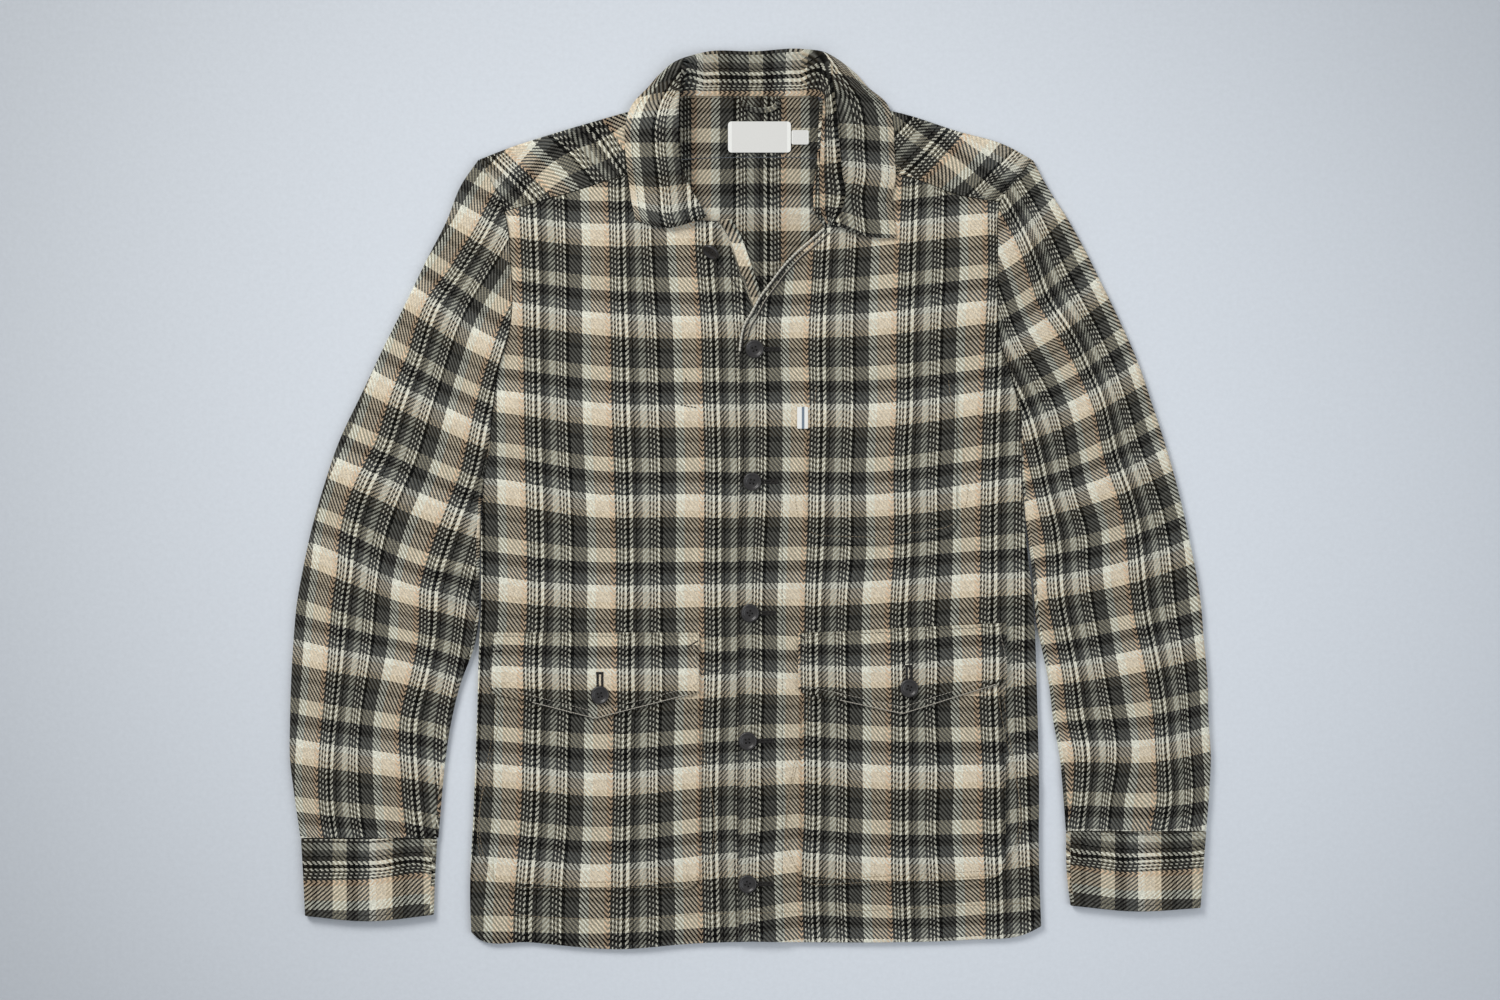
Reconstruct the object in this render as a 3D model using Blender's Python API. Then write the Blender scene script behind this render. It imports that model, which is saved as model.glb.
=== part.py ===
"""A plaid wool chore coat, open at the neck, laid flat on its back with its sleeves at its sides.

World frame: +X to the wearer's left, +Y towards the collar, +Z up. The coat lies on z = 0.
Each piece that a maker would cut is its own closed solid: a sheet of points given the cloth's
thickness, or a flattened tube for a sleeve and a cuff. All sizes and tables are in millimetres,
measured from the middle of the coat's outline, and become metres where a mesh is made.
"""
import math
from bisect import bisect_right
from collections import namedtuple

import bmesh
import bpy
from mathutils import Vector

MM = 0.001

# Cloth, and how its layers lie
CLOTH = 1.8
GAP = 0.3
LAYER = CLOTH + GAP
SEAM = 0.7
BACK_LEVEL = CLOTH / 2
SHOULDER_BEND = 1.2
FRONT_LEVEL = BACK_LEVEL + 2 * SHOULDER_BEND
TRIM = 1.0

# Sleeves and cuffs are flattened tubes
SLEEVE_HEIGHT = 6.2
SLEEVE_CROWN = 1.0
CUFF_HEIGHT = 6.8
RING_TOP = 9
RING_BOTTOM = 6
RING_END = 4
SLEEVE_CLEARANCE = 1.7

# The front edges: the wearer's left front laps over the right one
LAP_EDGE_X = -11
UNDERLAP_EDGE_X = 21
LAP_RAMP = (23, 39)
HEM_CENTRE_Y = -384
ROLL_WIDTH = 16
ROLL_HEIGHT = 1.6
ROLL_TOP = (200, 226)

# Where a front's lines run, from its side to its front edge: the neckline starts at one of them
FRONT_COLUMNS = (0, 0.11, 0.22, 0.33, 0.44, 0.55, 0.65, 0.75, 0.795, 0.83, 0.87, 0.94, 1)
NECKLINE_START = 0.75
TOP_REACH = 7

# Buttons: four hung on the lap, one at the neck and one on each flap
BUTTON_RADIUS = 8.0
BUTTON_HEIGHT = 3.2
BUTTON_SIDES = 18
NECK_BUTTON_LIFT = 5.2

# A flap lies on its front at its top and steps up onto its pocket
FLAP_STEP = (3, 15)
POCKET_BELOW_FLAP_TOP = 18

Side = namedtuple("Side", "armhole side_edge shoulder yoke_seam hem sleeve cuff")
SleeveRow = namedtuple("SleeveRow", "outer_x outer_y inner_x inner_y armhole_share")
CuffRow = namedtuple("CuffRow", "outer_x outer_y inner_x inner_y sag")
Fold = namedtuple("Fold", "x0 y0 x1 y1 width height")
Patch = namedtuple("Patch", "left right top bottom radius point rise")
CollarSection = namedtuple("CollarSection", "seam fold fall edge")
Button = namedtuple("Button", "name x y layers tilt turn")

# Outlines of the wearer's right half, at -X, listed from the shoulder down
RIGHT = Side(
    armhole=[(-236, 295), (-227, 279), (-220, 266), (-214, 250), (-211, 235), (-209, 206), (-207, 170),
             (-210, 145), (-219, 114), (-224, 80), (-227, 46)],
    side_edge=[(-227, 46), (-232, 13), (-234, -20), (-235, -105), (-236, -123), (-238, -192), (-241, -270),
               (-244, -345), (-243, -376)],
    shoulder=[(-236, 295), (-213, 304), (-170, 318), (-126, 331), (-70, 347)],
    yoke_seam=[(-214, 250), (-184, 258), (-148, 269), (-110, 281), (-66, 289)],
    hem=[(-243, -376), (-238, -381), (-192, -385), (-115, -391), (-49, -386), (21, HEM_CENTRE_Y)],
    sleeve=[
        SleeveRow(-236, 295, -227, 46, 1.0),
        SleeveRow(-251, 273, -228, 40, 0.85),
        SleeveRow(-264, 241, -229, 34, 0.66),
        SleeveRow(-280, 210, -230, 28, 0.46),
        SleeveRow(-299, 171, -231.2, 21, 0.30),
        SleeveRow(-319, 131, -232.4, 12, 0.16),
        SleeveRow(-338, 91, -233.4, 1, 0.06),
        SleeveRow(-357, 51, -234.2, -14, 0),
        SleeveRow(-371, 10, -234.8, -33, 0),
        SleeveRow(-382, -29, -235.2, -55, 0),
        SleeveRow(-389, -62, -235.5, -79, 0),
        SleeveRow(-394, -90, -236, -103, 0),
        SleeveRow(-397, -123, -240, -128, 0),
        SleeveRow(-399, -157, -252, -161, 0),
        SleeveRow(-400, -192, -260, -194, 0),
        SleeveRow(-400, -227, -265, -227, 0),
        SleeveRow(-397, -252, -267.5, -252, 0),
        SleeveRow(-391, -294, -271, -294, 0),
    ],
    cuff=[
        CuffRow(-390.5, -294.7, -272, -294.7, 0),
        CuffRow(-388.5, -330, -274, -330, 1),
        CuffRow(-387, -362, -275, -361, 5),
    ],
)

# Outlines of the wearer's left half, at +X, listed from the shoulder down
LEFT = Side(
    armhole=[(244, 295), (235, 283), (224, 271), (216, 258), (214, 242), (214, 220), (214, 191), (214, 170),
             (218, 130), (223, 117), (228, 99), (233, 79), (235, 46)],
    side_edge=[(235, 46), (236, 2), (239, -36), (243, -70), (246, -105), (248, -158), (250, -244),
               (250, -314), (252, -371)],
    shoulder=[(244, 295), (222, 307), (178, 320), (135, 334), (60, 347)],
    yoke_seam=[(216, 258), (181, 264), (143, 278), (100, 288), (57, 290)],
    hem=[(252, -371), (243, -376), (185, -383), (119, -385), (52, -385), (LAP_EDGE_X, HEM_CENTRE_Y)],
    sleeve=[
        SleeveRow(244, 295, 235, 46, 1.0),
        SleeveRow(258, 269, 235.2, 40, 0.85),
        SleeveRow(274, 244, 235.4, 34, 0.66),
        SleeveRow(288, 219, 235.6, 27, 0.46),
        SleeveRow(302, 191, 235.9, 18, 0.30),
        SleeveRow(319, 156, 236.3, 8, 0.16),
        SleeveRow(335, 120, 237, -3, 0.06),
        SleeveRow(348, 82, 238.2, -18, 0),
        SleeveRow(361, 42, 240.4, -37, 0),
        SleeveRow(372, 2, 242.8, -55, 0),
        SleeveRow(382, -43, 245, -79, 0),
        SleeveRow(390, -88, 247, -105, 0),
        SleeveRow(393, -123, 251, -125, 0),
        SleeveRow(396, -157, 258, -159, 0),
        SleeveRow(397, -192, 262, -192, 0),
        SleeveRow(399, -227, 268, -227, 0),
        SleeveRow(398, -249, 270, -249, 0),
        SleeveRow(395, -288, 273, -288, 0),
    ],
    cuff=[
        CuffRow(395, -288.7, 273, -288.7, 0),
        CuffRow(392, -328, 274, -328, 1),
        CuffRow(390, -355, 277, -353, 4),
    ],
)

# Necklines run from the front edge to the shoulder strap, front edges from the hem up
RIGHT_NECKLINE = [(-66, 289), (-61, 268), (-54, 252), (-43, 243), (-17, 243)]
RIGHT_FRONT_EDGE = [(UNDERLAP_EDGE_X, 112), (18, 138), (13, 164), (6, 186), (-3, 213), (-9, 229), (-17, 243)]
LEFT_NECKLINE = [(64, 237), (56, 247), (54, 262), (57, 290)]
LEFT_FRONT_EDGE = [(LAP_EDGE_X, 128), (-10, 138), (-7, 151), (0, 163), (7, 176), (16, 188), (25, 200),
                   (39, 215), (53, 227), (64, 237)]
BACK_YOKE_SEAM = [(-218, 261), (-120, 288), (0, 297), (120, 289), (217, 261)]
BACK_NECK_Y = 348

# Soft ridges (above 0) and troughs (below 0), each along a line
FRONT_FOLDS = [
    Fold(-200, 215, -196, 120, 22, 1.6),
    Fold(-150, 190, -140, 60, 34, 1.2),
    Fold(-55, 190, -60, 30, 30, 1.0),
    Fold(-34, 224, -6, 160, 20, 3.0),
    Fold(200, 235, 196, 140, 22, 1.6),
    Fold(70, 212, 80, 156, 24, 1.2),
]
SLEEVE_FOLDS = [
    Fold(-258, 196, -262, 90, 26, -1.6),
    Fold(-300, 150, -262, 60, 24, -1.2),
    Fold(-274, -66, -240, -74, 13, -1.8),
    Fold(-330, -30, -300, -160, 26, -1.0),
    Fold(-341, -238, -331, -290, 12, -1.8),
    Fold(258, 196, 262, 100, 26, -1.6),
    Fold(300, 150, 268, 50, 24, -1.2),
    Fold(330, -40, 300, -150, 26, -1.0),
    Fold(322, -240, 308, -286, 12, -1.8),
]

# Patch pockets and flaps
HIP_RIGHT = Patch(left=-223, right=-45, top=-116, bottom=-339, radius=14, point=0, rise=0)
HIP_LEFT = Patch(left=44, right=221, top=-112, bottom=-333, radius=14, point=0, rise=9)
CHEST = Patch(left=50, right=178, top=104, bottom=-34, radius=11, point=6, rise=8)
FLAP_RIGHT = Patch(left=-226, right=-45, top=-116, bottom=-168, radius=4, point=23, rise=0)
FLAP_LEFT = Patch(left=41, right=222, top=-112, bottom=-163, radius=4, point=24, rise=9)

# The collar in cross-sections from the wearer's right end, round the back neck, to the left end:
# the neck seam, the top of the roll, the middle of the fall and its outer edge, each (x, y, z)
COLLAR = [
    CollarSection((-44, 242, 5.7), (-40, 244, 8), (-72, 235, 8), (-100, 242, 5.7)),
    CollarSection((-51, 252, 5.7), (-45, 254, 10), (-75, 248, 10), (-103, 255, 5.7)),
    CollarSection((-60, 266, 5.7), (-53, 269, 13), (-79, 266, 11.5), (-105, 269, 5.7)),
    CollarSection((-68, 282, 5.7), (-60, 285, 16), (-83, 285, 13), (-107, 285, 5.7)),
    CollarSection((-72, 301, 5.7), (-62, 303, 18), (-85, 304, 14), (-109, 305, 5.7)),
    CollarSection((-73, 320, 5.7), (-63, 323, 19), (-86, 323, 14), (-109, 323, 5.7)),
    CollarSection((-72, 337, 5.7), (-63, 343, 19), (-85, 342, 13), (-104, 340, 5.6)),
    CollarSection((-67, 347, 5.2), (-61, 363, 17), (-78, 361, 10.5), (-90, 356, 4.0)),
    CollarSection((-56, 350, 4.4), (-57, 381, 11), (-67, 378, 6), (-74, 371, 2.2)),
    CollarSection((-40, 350, 3.5), (-43, 386, 6), (-47, 377, 1.7), (-50, 359, 1.2)),
    CollarSection((5, 350, 3.3), (4, 387, 5.5), (4, 376, 1.5), (5, 356, 1.2)),
    CollarSection((42, 350, 3.5), (46, 389, 6), (50, 379, 1.7), (52, 360, 1.2)),
    CollarSection((56, 350, 4.4), (63, 386, 11.5), (76, 380, 6), (86, 372, 2.2)),
    CollarSection((62, 348, 5.2), (70, 366, 18), (88, 364, 11), (102, 356, 4.0)),
    CollarSection((63, 340, 5.7), (73, 347, 20), (97, 345, 13.5), (118, 342, 5.6)),
    CollarSection((62, 325, 5.7), (75, 326, 21), (100, 325, 15), (123, 324, 5.7)),
    CollarSection((61, 304, 5.7), (77, 304, 20), (101, 303, 15), (124, 302, 5.7)),
    CollarSection((60, 283, 5.7), (79, 283, 18), (102, 281, 14), (125, 278, 5.7)),
    CollarSection((60, 264, 5.7), (82, 262, 15), (103, 260, 12), (122, 258, 5.7)),
    CollarSection((61, 250, 5.7), (78, 249, 11), (100, 243, 10), (124, 242, 5.7)),
    CollarSection((66, 239, 5.7), (71, 238, 8), (98, 228, 8), (126, 226, 5.7)),
]
COLLAR_STEPS = (0, 0.35, 0.7, 1, 1.3, 1.65, 2, 2.5, 3)
COLLAR_ROWS = 30
COLLAR_LOWEST = 1.1

# Trim sewn inside the neck, and the tab in the chest pocket's seam
LABEL = Patch(left=-20, right=34.6, top=328, bottom=301, radius=3, point=0, rise=0)
SIZE_TAB = Patch(left=35.2, right=50, top=320.5, bottom=308, radius=1.5, point=0, rise=0)
POCKET_TAB = Patch(left=40, right=49.6, top=80, bottom=61, radius=1, point=0, rise=0)
LOOP = [(-8, 345), (-2, 339.5), (9, 337.5), (19, 339.5), (25, 345)]
LOOP_WIDTH = 4.6
LOOP_THICK = 1.2
LOOP_LIFT = 1.0

# Buttons, with the layers of cloth between each and its front
BUTTONS = [
    Button("button_front_1", 3, 130, 0, 0, 20),
    Button("button_front_2", 1, 15, 0, 0, -12),
    Button("button_front_3", -1, -99, 0, 0, 35),
    Button("button_front_4", -3, -210, 0, 0, 8),
    Button("button_front_5", -3, -334, 0, 0, -30),
    Button("button_flap_right", -131, -170, 2, 0, 15),
    Button("button_flap_left", 137, -164, 2, 0, -20),
    Button("button_neck", -34, 215, 0, 58, -35),
]

PLAID = ("plaid_wool", (0.36, 0.32, 0.26), 0.92)
HORN = ("dark_horn", (0.05, 0.045, 0.045), 0.42)
WOVEN = ("woven_label", (0.78, 0.77, 0.74), 0.8)


def clear_scene():
    for obj in list(bpy.data.objects):
        bpy.data.objects.remove(obj, do_unlink=True)


def material_for(name, kind):
    """Each node has its own material, with its kind's colour and roughness."""
    _, colour, roughness = kind
    material = bpy.data.materials.new(name)
    material.use_nodes = True
    surface = material.node_tree.nodes["Principled BSDF"]
    surface.inputs["Base Color"].default_value = (*colour, 1)
    surface.inputs["Roughness"].default_value = roughness
    return material


def smoothstep(start, end, value):
    share = min(1, max(0, (value - start) / (end - start)))
    return share * share * (3 - 2 * share)


def spline(points, position):
    """The smooth curve through the points, at a position counted in points from the first."""
    points = [Vector(point) for point in points]
    index = min(len(points) - 2, max(0, int(position)))
    t = position - index
    p1, p2 = points[index], points[index + 1]
    span = (p2 - p1).length
    before = points[index - 1] if index else p1 * 2 - p2
    after = points[index + 2] if index + 2 < len(points) else p2 * 2 - p1

    def slope(a, b, c):
        first, second = max((b - a).length, 1e-6), max((c - b).length, 1e-6)
        return ((b - a) / first * second + (c - b) / second * first) / (first + second)

    m1, m2 = slope(before, p1, p2) * span, slope(p1, p2, after) * span
    return (p1 * (2 * t ** 3 - 3 * t ** 2 + 1) + m1 * (t ** 3 - 2 * t ** 2 + t)
            + p2 * (3 * t ** 2 - 2 * t ** 3) + m2 * (t ** 3 - t ** 2))


def chord_lengths(points):
    lengths = [0.0]
    for first, second in zip(points, points[1:]):
        lengths.append(lengths[-1] + (Vector(second) - Vector(first)).length)
    return lengths


def along(points, share):
    """The smooth curve through the points, at a share of its length from the first."""
    lengths = chord_lengths(points)
    target = share * lengths[-1]
    index = min(len(points) - 2, max(0, bisect_right(lengths, target) - 1))
    return spline(points, index + (target - lengths[index]) / (lengths[index + 1] - lengths[index]))


def sampled(points, intervals):
    return [along(points, step / intervals) for step in range(intervals + 1)]


def sampled_at(points, shares):
    return [along(points, share) for share in shares]


def joined(*curves):
    """Sampled curves end to end, each meeting point once."""
    points = list(curves[0])
    for curve in curves[1:]:
        points += curve[1:]
    return points


def patch(bottom, top, left, right, columns):
    """A grid filled in between four sampled edges, as rows from the bottom up.

    The top edge's shape fades out soon below it, so that the lines further down stay straight.
    """
    grid = []
    for row in range(len(left)):
        up = (row / (len(left) - 1)) ** TOP_REACH
        line = []
        for column, across in enumerate(columns):
            corners = bottom[0].lerp(bottom[-1], across).lerp(top[0].lerp(top[-1], across), up)
            line.append(left[row].lerp(right[row], across) + bottom[column].lerp(top[column], up) - corners)
        grid.append(line)
    return grid


def fold_height(folds, x, y):
    """How far the folds lift or sink the cloth at a place."""
    total = 0
    for fold in folds:
        run = Vector((fold.x1 - fold.x0, fold.y1 - fold.y0))
        offset = Vector((x - fold.x0, y - fold.y0))
        share = min(1, max(0, offset.dot(run) / run.length_squared))
        distance = (offset - run * share).length
        total += fold.height * (1 + math.cos(math.pi * min(1, distance / fold.width))) / 2
    return total


def front_height(x, y):
    """The middle of a front's thickness."""
    return FRONT_LEVEL + fold_height(FRONT_FOLDS, x, y)


def lapped_height(x, y):
    """The wearer's left front: it rises over the underlap and rolls along its neck edge."""
    lap = LAYER * (1 - smoothstep(*LAP_RAMP, x))
    to_edge = min((Vector(point) - Vector((x, y))).length for point in sampled(LEFT_FRONT_EDGE, 24))
    roll = ROLL_HEIGHT * (1 - smoothstep(0, ROLL_WIDTH, to_edge)) * (1 - smoothstep(*ROLL_TOP, y))
    return front_height(x, y) + lap + roll


def raised(grid, height):
    """The grid's places with the height of a level or of a height function."""
    return [[Vector((p.x, p.y, height(p.x, p.y) if callable(height) else height)) for p in line]
            for line in grid]


def sheet(name, grid, kind, thickness=CLOTH, around=False):
    """A closed solid from a grid of middle points; a place without a point stays open."""
    mesh = bpy.data.meshes.new(name)
    form = bmesh.new()
    vertices = [[point and form.verts.new(point * MM) for point in line] for line in grid]
    columns = len(grid[0])
    for lower, upper in zip(vertices, vertices[1:]):
        for column in range(columns if around else columns - 1):
            following = (column + 1) % columns
            corners = (lower[column], lower[following], upper[following], upper[column])
            if all(corners):
                form.faces.new(corners)
    bmesh.ops.delete(form, geom=[v for v in form.verts if not v.link_faces], context="VERTS")
    bmesh.ops.recalc_face_normals(form, faces=form.faces)
    form.to_mesh(mesh)
    form.free()
    obj = bpy.data.objects.new(name, mesh)
    bpy.context.scene.collection.objects.link(obj)
    wall = obj.modifiers.new("Cloth thickness", "SOLIDIFY")
    wall.thickness = thickness * MM
    wall.offset = 0
    obj.data.materials.append(material_for(name, kind))
    return obj


def build_fronts():
    rows_side, rows_armhole = 15, 7
    rows_edge, rows_neck = 17, 5
    to_seam = [share / NECKLINE_START for share in FRONT_COLUMNS if share <= NECKLINE_START]
    to_neck = [(share - NECKLINE_START) / (1 - NECKLINE_START) for share in FRONT_COLUMNS
               if share >= NECKLINE_START]
    for name, half, edge, neckline, height in (
        ("front_right", RIGHT, RIGHT_FRONT_EDGE, RIGHT_NECKLINE, front_height),
        ("front_left", LEFT, LEFT_FRONT_EDGE, LEFT_NECKLINE[::-1], lapped_height),
    ):
        seam_down = Vector((0, SEAM / 2))
        top_end = half.yoke_seam[0]
        armhole = [point for point in half.armhole if point[1] < top_end[1] - 1]
        side = joined(sampled(half.side_edge[::-1], rows_side), sampled([*armhole[::-1], top_end], rows_armhole))
        hem_to_neck = sampled([(edge[0][0], HEM_CENTRE_Y), edge[0]], rows_edge)
        centre = joined(hem_to_neck, sampled(edge, rows_neck))
        seam = [point - seam_down for point in sampled_at(half.yoke_seam, to_seam)]
        top = joined(seam, sampled_at(neckline, to_neck))
        side[-1], top[-1] = top[0], centre[-1]
        hem = sampled_at(half.hem, FRONT_COLUMNS)
        side[0], centre[0] = hem[0], hem[-1]
        sheet(name, raised(patch(hem, top, side, centre, FRONT_COLUMNS), height), PLAID)


def build_back():
    columns, rows_side, rows_armhole = 12, 9, 8
    edges = []
    for half, corner in ((RIGHT, BACK_YOKE_SEAM[0]), (LEFT, BACK_YOKE_SEAM[-1])):
        armhole = [point for point in half.armhole if point[1] < corner[1] - 4]
        edges.append(joined(sampled(half.side_edge[::-1], rows_side),
                            sampled([*armhole[::-1], corner], rows_armhole)))
    left, right = edges
    top = [point - Vector((0, SEAM / 2)) for point in sampled(BACK_YOKE_SEAM, columns)]
    left[-1], right[-1] = top[0], top[-1]
    hem = joined(sampled(RIGHT.hem, columns // 2), sampled([RIGHT.hem[-1], *LEFT.hem[-2::-1]], columns // 2))
    left[0], right[0] = hem[0], hem[-1]
    shares = [column / columns for column in range(columns + 1)]
    sheet("back_panel", raised(patch(hem, top, left, right, shares), BACK_LEVEL), PLAID)


def shoulder_column(back, shoulder, outward, front):
    """One line of the yoke from its back seam, over the shoulder's edge, to its front seam."""
    back_rows, bend_rows, strap_rows = 4, 4, 4
    centre = shoulder - outward * (SHOULDER_BEND + CLOTH / 2)
    line = [Vector((*back.lerp(centre, step / back_rows), BACK_LEVEL)) for step in range(back_rows + 1)]
    for step in range(1, bend_rows):
        angle = math.pi * (step / bend_rows - 0.5)
        place = centre + outward * SHOULDER_BEND * math.cos(angle)
        line.append(Vector((*place, BACK_LEVEL + SHOULDER_BEND * (1 + math.sin(angle)))))
    line += [Vector((*centre.lerp(front, step / strap_rows), FRONT_LEVEL)) for step in range(strap_rows + 1)]
    return line


def build_yoke():
    strap_columns, neck_columns = 8, 8
    seam = Vector((0, SEAM / 2))
    total = 2 * strap_columns + neck_columns
    back = [point + seam for point in sampled(BACK_YOKE_SEAM, total)]
    columns = []
    for half, backs in ((RIGHT, back[:strap_columns + 1]), (LEFT, back[:-strap_columns - 2:-1])):
        shoulder = sampled(half.shoulder, strap_columns)
        fronts = [point + seam for point in sampled(half.yoke_seam, strap_columns)]
        strap = []
        for index in range(strap_columns + 1):
            run = shoulder[min(index + 1, strap_columns)] - shoulder[max(index - 1, 0)]
            outward = Vector((-run.y, run.x)).normalized()
            outward *= 1 if outward.y > 0 else -1
            strap.append(shoulder_column(backs[index], shoulder[index], outward, fronts[index]))
        columns.append(strap)
    right_strap, left_strap = columns
    rows = len(right_strap[0])
    neck = []
    for index in range(strap_columns + 1, strap_columns + neck_columns):
        share = (index - strap_columns) / neck_columns
        edge = Vector((RIGHT.shoulder[-1][0] * (1 - share) + LEFT.shoulder[-1][0] * share, BACK_NECK_Y - SEAM))
        line = [Vector((*back[index].lerp(edge, step / 4), BACK_LEVEL)) for step in range(5)]
        neck.append(line + [None] * (rows - len(line)))
    sheet("yoke", [*right_strap, *neck, *left_strap[::-1]], PLAID)


def ring(curve, height, crown, folds):
    """A flattened tube's cross-section over a row that runs from the inner to the outer edge."""
    length = chord_lengths(curve)[-1]
    bend = (height - CLOTH) / 2
    inset = height / 2 / length
    points = []

    def add(share, beyond, rise):
        place = along(curve, share)
        if beyond:
            end = along(curve, 0 if share < 0.5 else 1)
            place = place + (end - place).normalized() * beyond
        points.append(Vector((place.x, place.y, height / 2 + rise)))

    def end_cap(share, start):
        for step in range(1, RING_END):
            angle = start - math.pi * step / RING_END
            add(share, bend * abs(math.cos(angle)), bend * math.sin(angle))

    for step in range(RING_TOP + 1):
        share = inset + (1 - 2 * inset) * step / RING_TOP
        place = along(curve, share)
        add(share, 0, bend + crown * math.sin(math.pi * share) + fold_height(folds, place.x, place.y))
    end_cap(1 - inset, math.pi / 2)
    for step in range(RING_BOTTOM + 1):
        add(1 - inset - (1 - 2 * inset) * step / RING_BOTTOM, 0, -bend)
    end_cap(inset, -math.pi / 2)
    return points


def sleeve_row(row, armhole):
    """A row across a sleeve: straight, or curved with a share of the armhole's shape."""
    inner, outer = Vector((row.inner_x, row.inner_y)), Vector((row.outer_x, row.outer_y))
    steps = 12
    curve = []
    for step in range(steps + 1):
        share = step / steps
        seam = along(armhole, 1 - share)
        straight = Vector(armhole[-1]).lerp(Vector(armhole[0]), share)
        curve.append(inner.lerp(outer, share) + (seam - straight) * row.armhole_share)
    return curve


def build_sleeves():
    for name, half, outward in (("right", RIGHT, -1), ("left", LEFT, 1)):
        clear = Vector((outward * SLEEVE_CLEARANCE, 0))
        rings = []
        for row in half.sleeve:
            curve = [point + clear for point in sleeve_row(row, half.armhole)]
            rings.append(ring(curve, SLEEVE_HEIGHT, SLEEVE_CROWN, SLEEVE_FOLDS))
        sheet("sleeve_" + name, rings, PLAID, around=True)
        rings = []
        for row in half.cuff:
            inner, outer = Vector((row.inner_x, row.inner_y)), Vector((row.outer_x, row.outer_y))
            middle = (inner + outer) / 2 - Vector((0, row.sag))
            rings.append(ring([inner + clear, middle + clear, outer + clear], CUFF_HEIGHT, 0, []))
        sheet("cuff_" + name, rings, PLAID, around=True)


def corner_drop(distance, radius):
    """How far a rounded corner's outline stands back, at a distance from the side."""
    if distance >= radius:
        return 0
    return radius - math.sqrt(radius ** 2 - (radius - distance) ** 2)


def panel_grid(shape, top, rows, height, top_radius=0, columns=6):
    """A patch with rounded lower corners, perhaps pointed, whose right end may be higher."""
    width = shape.right - shape.left
    near = [0, 0.12 * shape.radius, 0.45 * shape.radius, shape.radius]
    inner = [shape.radius + (width - 2 * shape.radius) * step / columns for step in range(1, columns)]
    across = near + inner + [width - distance for distance in reversed(near)]
    grid = []
    for share in rows:
        line = []
        for place in across:
            from_side = min(place, width - place)
            pointed = shape.point * (1 - abs(2 * place / width - 1))
            low = shape.bottom + corner_drop(from_side, shape.radius) - pointed
            high = top - corner_drop(from_side, top_radius)
            y = low + (high - low) * share + shape.rise * (place / width - 0.5)
            x = shape.left + place
            line.append(Vector((x, y, height(x, y))))
        grid.append(line)
    return grid


def build_pockets():
    for name, shape, height in (
        ("hip_pocket_right", HIP_RIGHT, front_height),
        ("hip_pocket_left", HIP_LEFT, lapped_height),
        ("chest_pocket", CHEST, lapped_height),
    ):
        top = shape.top if name == "chest_pocket" else shape.top - POCKET_BELOW_FLAP_TOP
        rows = [step / 7 for step in range(8)]
        sheet(name, panel_grid(shape, top, rows, lambda x, y, h=height: h(x, y) + LAYER), PLAID)
    for name, shape, height in (
        ("flap_right", FLAP_RIGHT, front_height),
        ("flap_left", FLAP_LEFT, lapped_height),
    ):
        middle = (shape.left + shape.right) / 2

        def over_pocket(x, y, shape=shape, height=height, middle=middle):
            top = shape.top + shape.rise * (x - middle) / (shape.right - shape.left)
            return height(x, y) + LAYER * (1 + smoothstep(*FLAP_STEP, top - y))

        sheet(name, panel_grid(shape, shape.top, (0, 0.4, 0.74, 0.84, 0.94, 1), over_pocket), PLAID)


def build_collar():
    rows = []
    for step in range(COLLAR_ROWS + 1):
        position = (len(COLLAR) - 1) * step / COLLAR_ROWS
        section = [spline([getattr(row, part) for row in COLLAR], position) for part in CollarSection._fields]
        line = [spline(section, across) for across in COLLAR_STEPS]
        rows.append([Vector((point.x, point.y, max(point.z, COLLAR_LOWEST))) for point in line])
    sheet("collar", rows, PLAID)


def build_trim():
    rows = (0, 0.12, 0.5, 0.88, 1)
    on_yoke = BACK_LEVEL + CLOTH / 2 + GAP + TRIM / 2
    for name, shape in (("neck_label", LABEL), ("size_tab", SIZE_TAB)):
        grid = panel_grid(shape, shape.top, rows, lambda x, y: on_yoke, shape.radius, columns=3)
        sheet(name, grid, WOVEN, TRIM)
    grid = panel_grid(POCKET_TAB, POCKET_TAB.top, rows,
                      lambda x, y: lapped_height(x, y) + CLOTH / 2 + GAP + TRIM / 2, 1, columns=3)
    sheet("pocket_tab", grid, WOVEN, TRIM)
    path = sampled(LOOP, 10)
    edges = []
    for index, point in enumerate(path):
        run = path[min(index + 1, len(path) - 1)] - path[max(index - 1, 0)]
        aside = Vector((-run.y, run.x)).normalized() * LOOP_WIDTH / 2
        lift = LOOP_LIFT * math.sin(math.pi * index / (len(path) - 1))
        level = BACK_LEVEL + CLOTH / 2 + GAP + LOOP_THICK / 2 + lift
        edges.append([Vector((*(point + aside), level)), Vector((*(point - aside), level))])
    sheet("hanging_loop", edges, PLAID, LOOP_THICK)


def button_profile():
    """Radius and height of the turned button, from the middle of its foot to the middle of its face."""
    radius, height = BUTTON_RADIUS, BUTTON_HEIGHT
    return [(0.7 * radius, 0), (radius, 0.35 * height), (0.98 * radius, 0.8 * height), (0.86 * radius, height),
            (0.68 * radius, 0.92 * height), (0.6 * radius, 0.68 * height)]


def button_seat(button):
    """The height of a button's foot: just clear of the cloth under it, or tilted up from it at the neck."""
    rim = [(button.x, button.y)]
    for side in range(BUTTON_SIDES):
        angle = 2 * math.pi * side / BUTTON_SIDES
        rim.append((button.x + BUTTON_RADIUS * math.cos(angle), button.y + BUTTON_RADIUS * math.sin(angle)))
    height = front_height if button.x < UNDERLAP_EDGE_X - 40 else lapped_height
    highest = max(height(x, y) for x, y in rim)
    lift = NECK_BUTTON_LIFT if button.tilt else 0
    return highest + button.layers * LAYER + CLOTH / 2 + GAP + lift


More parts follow.
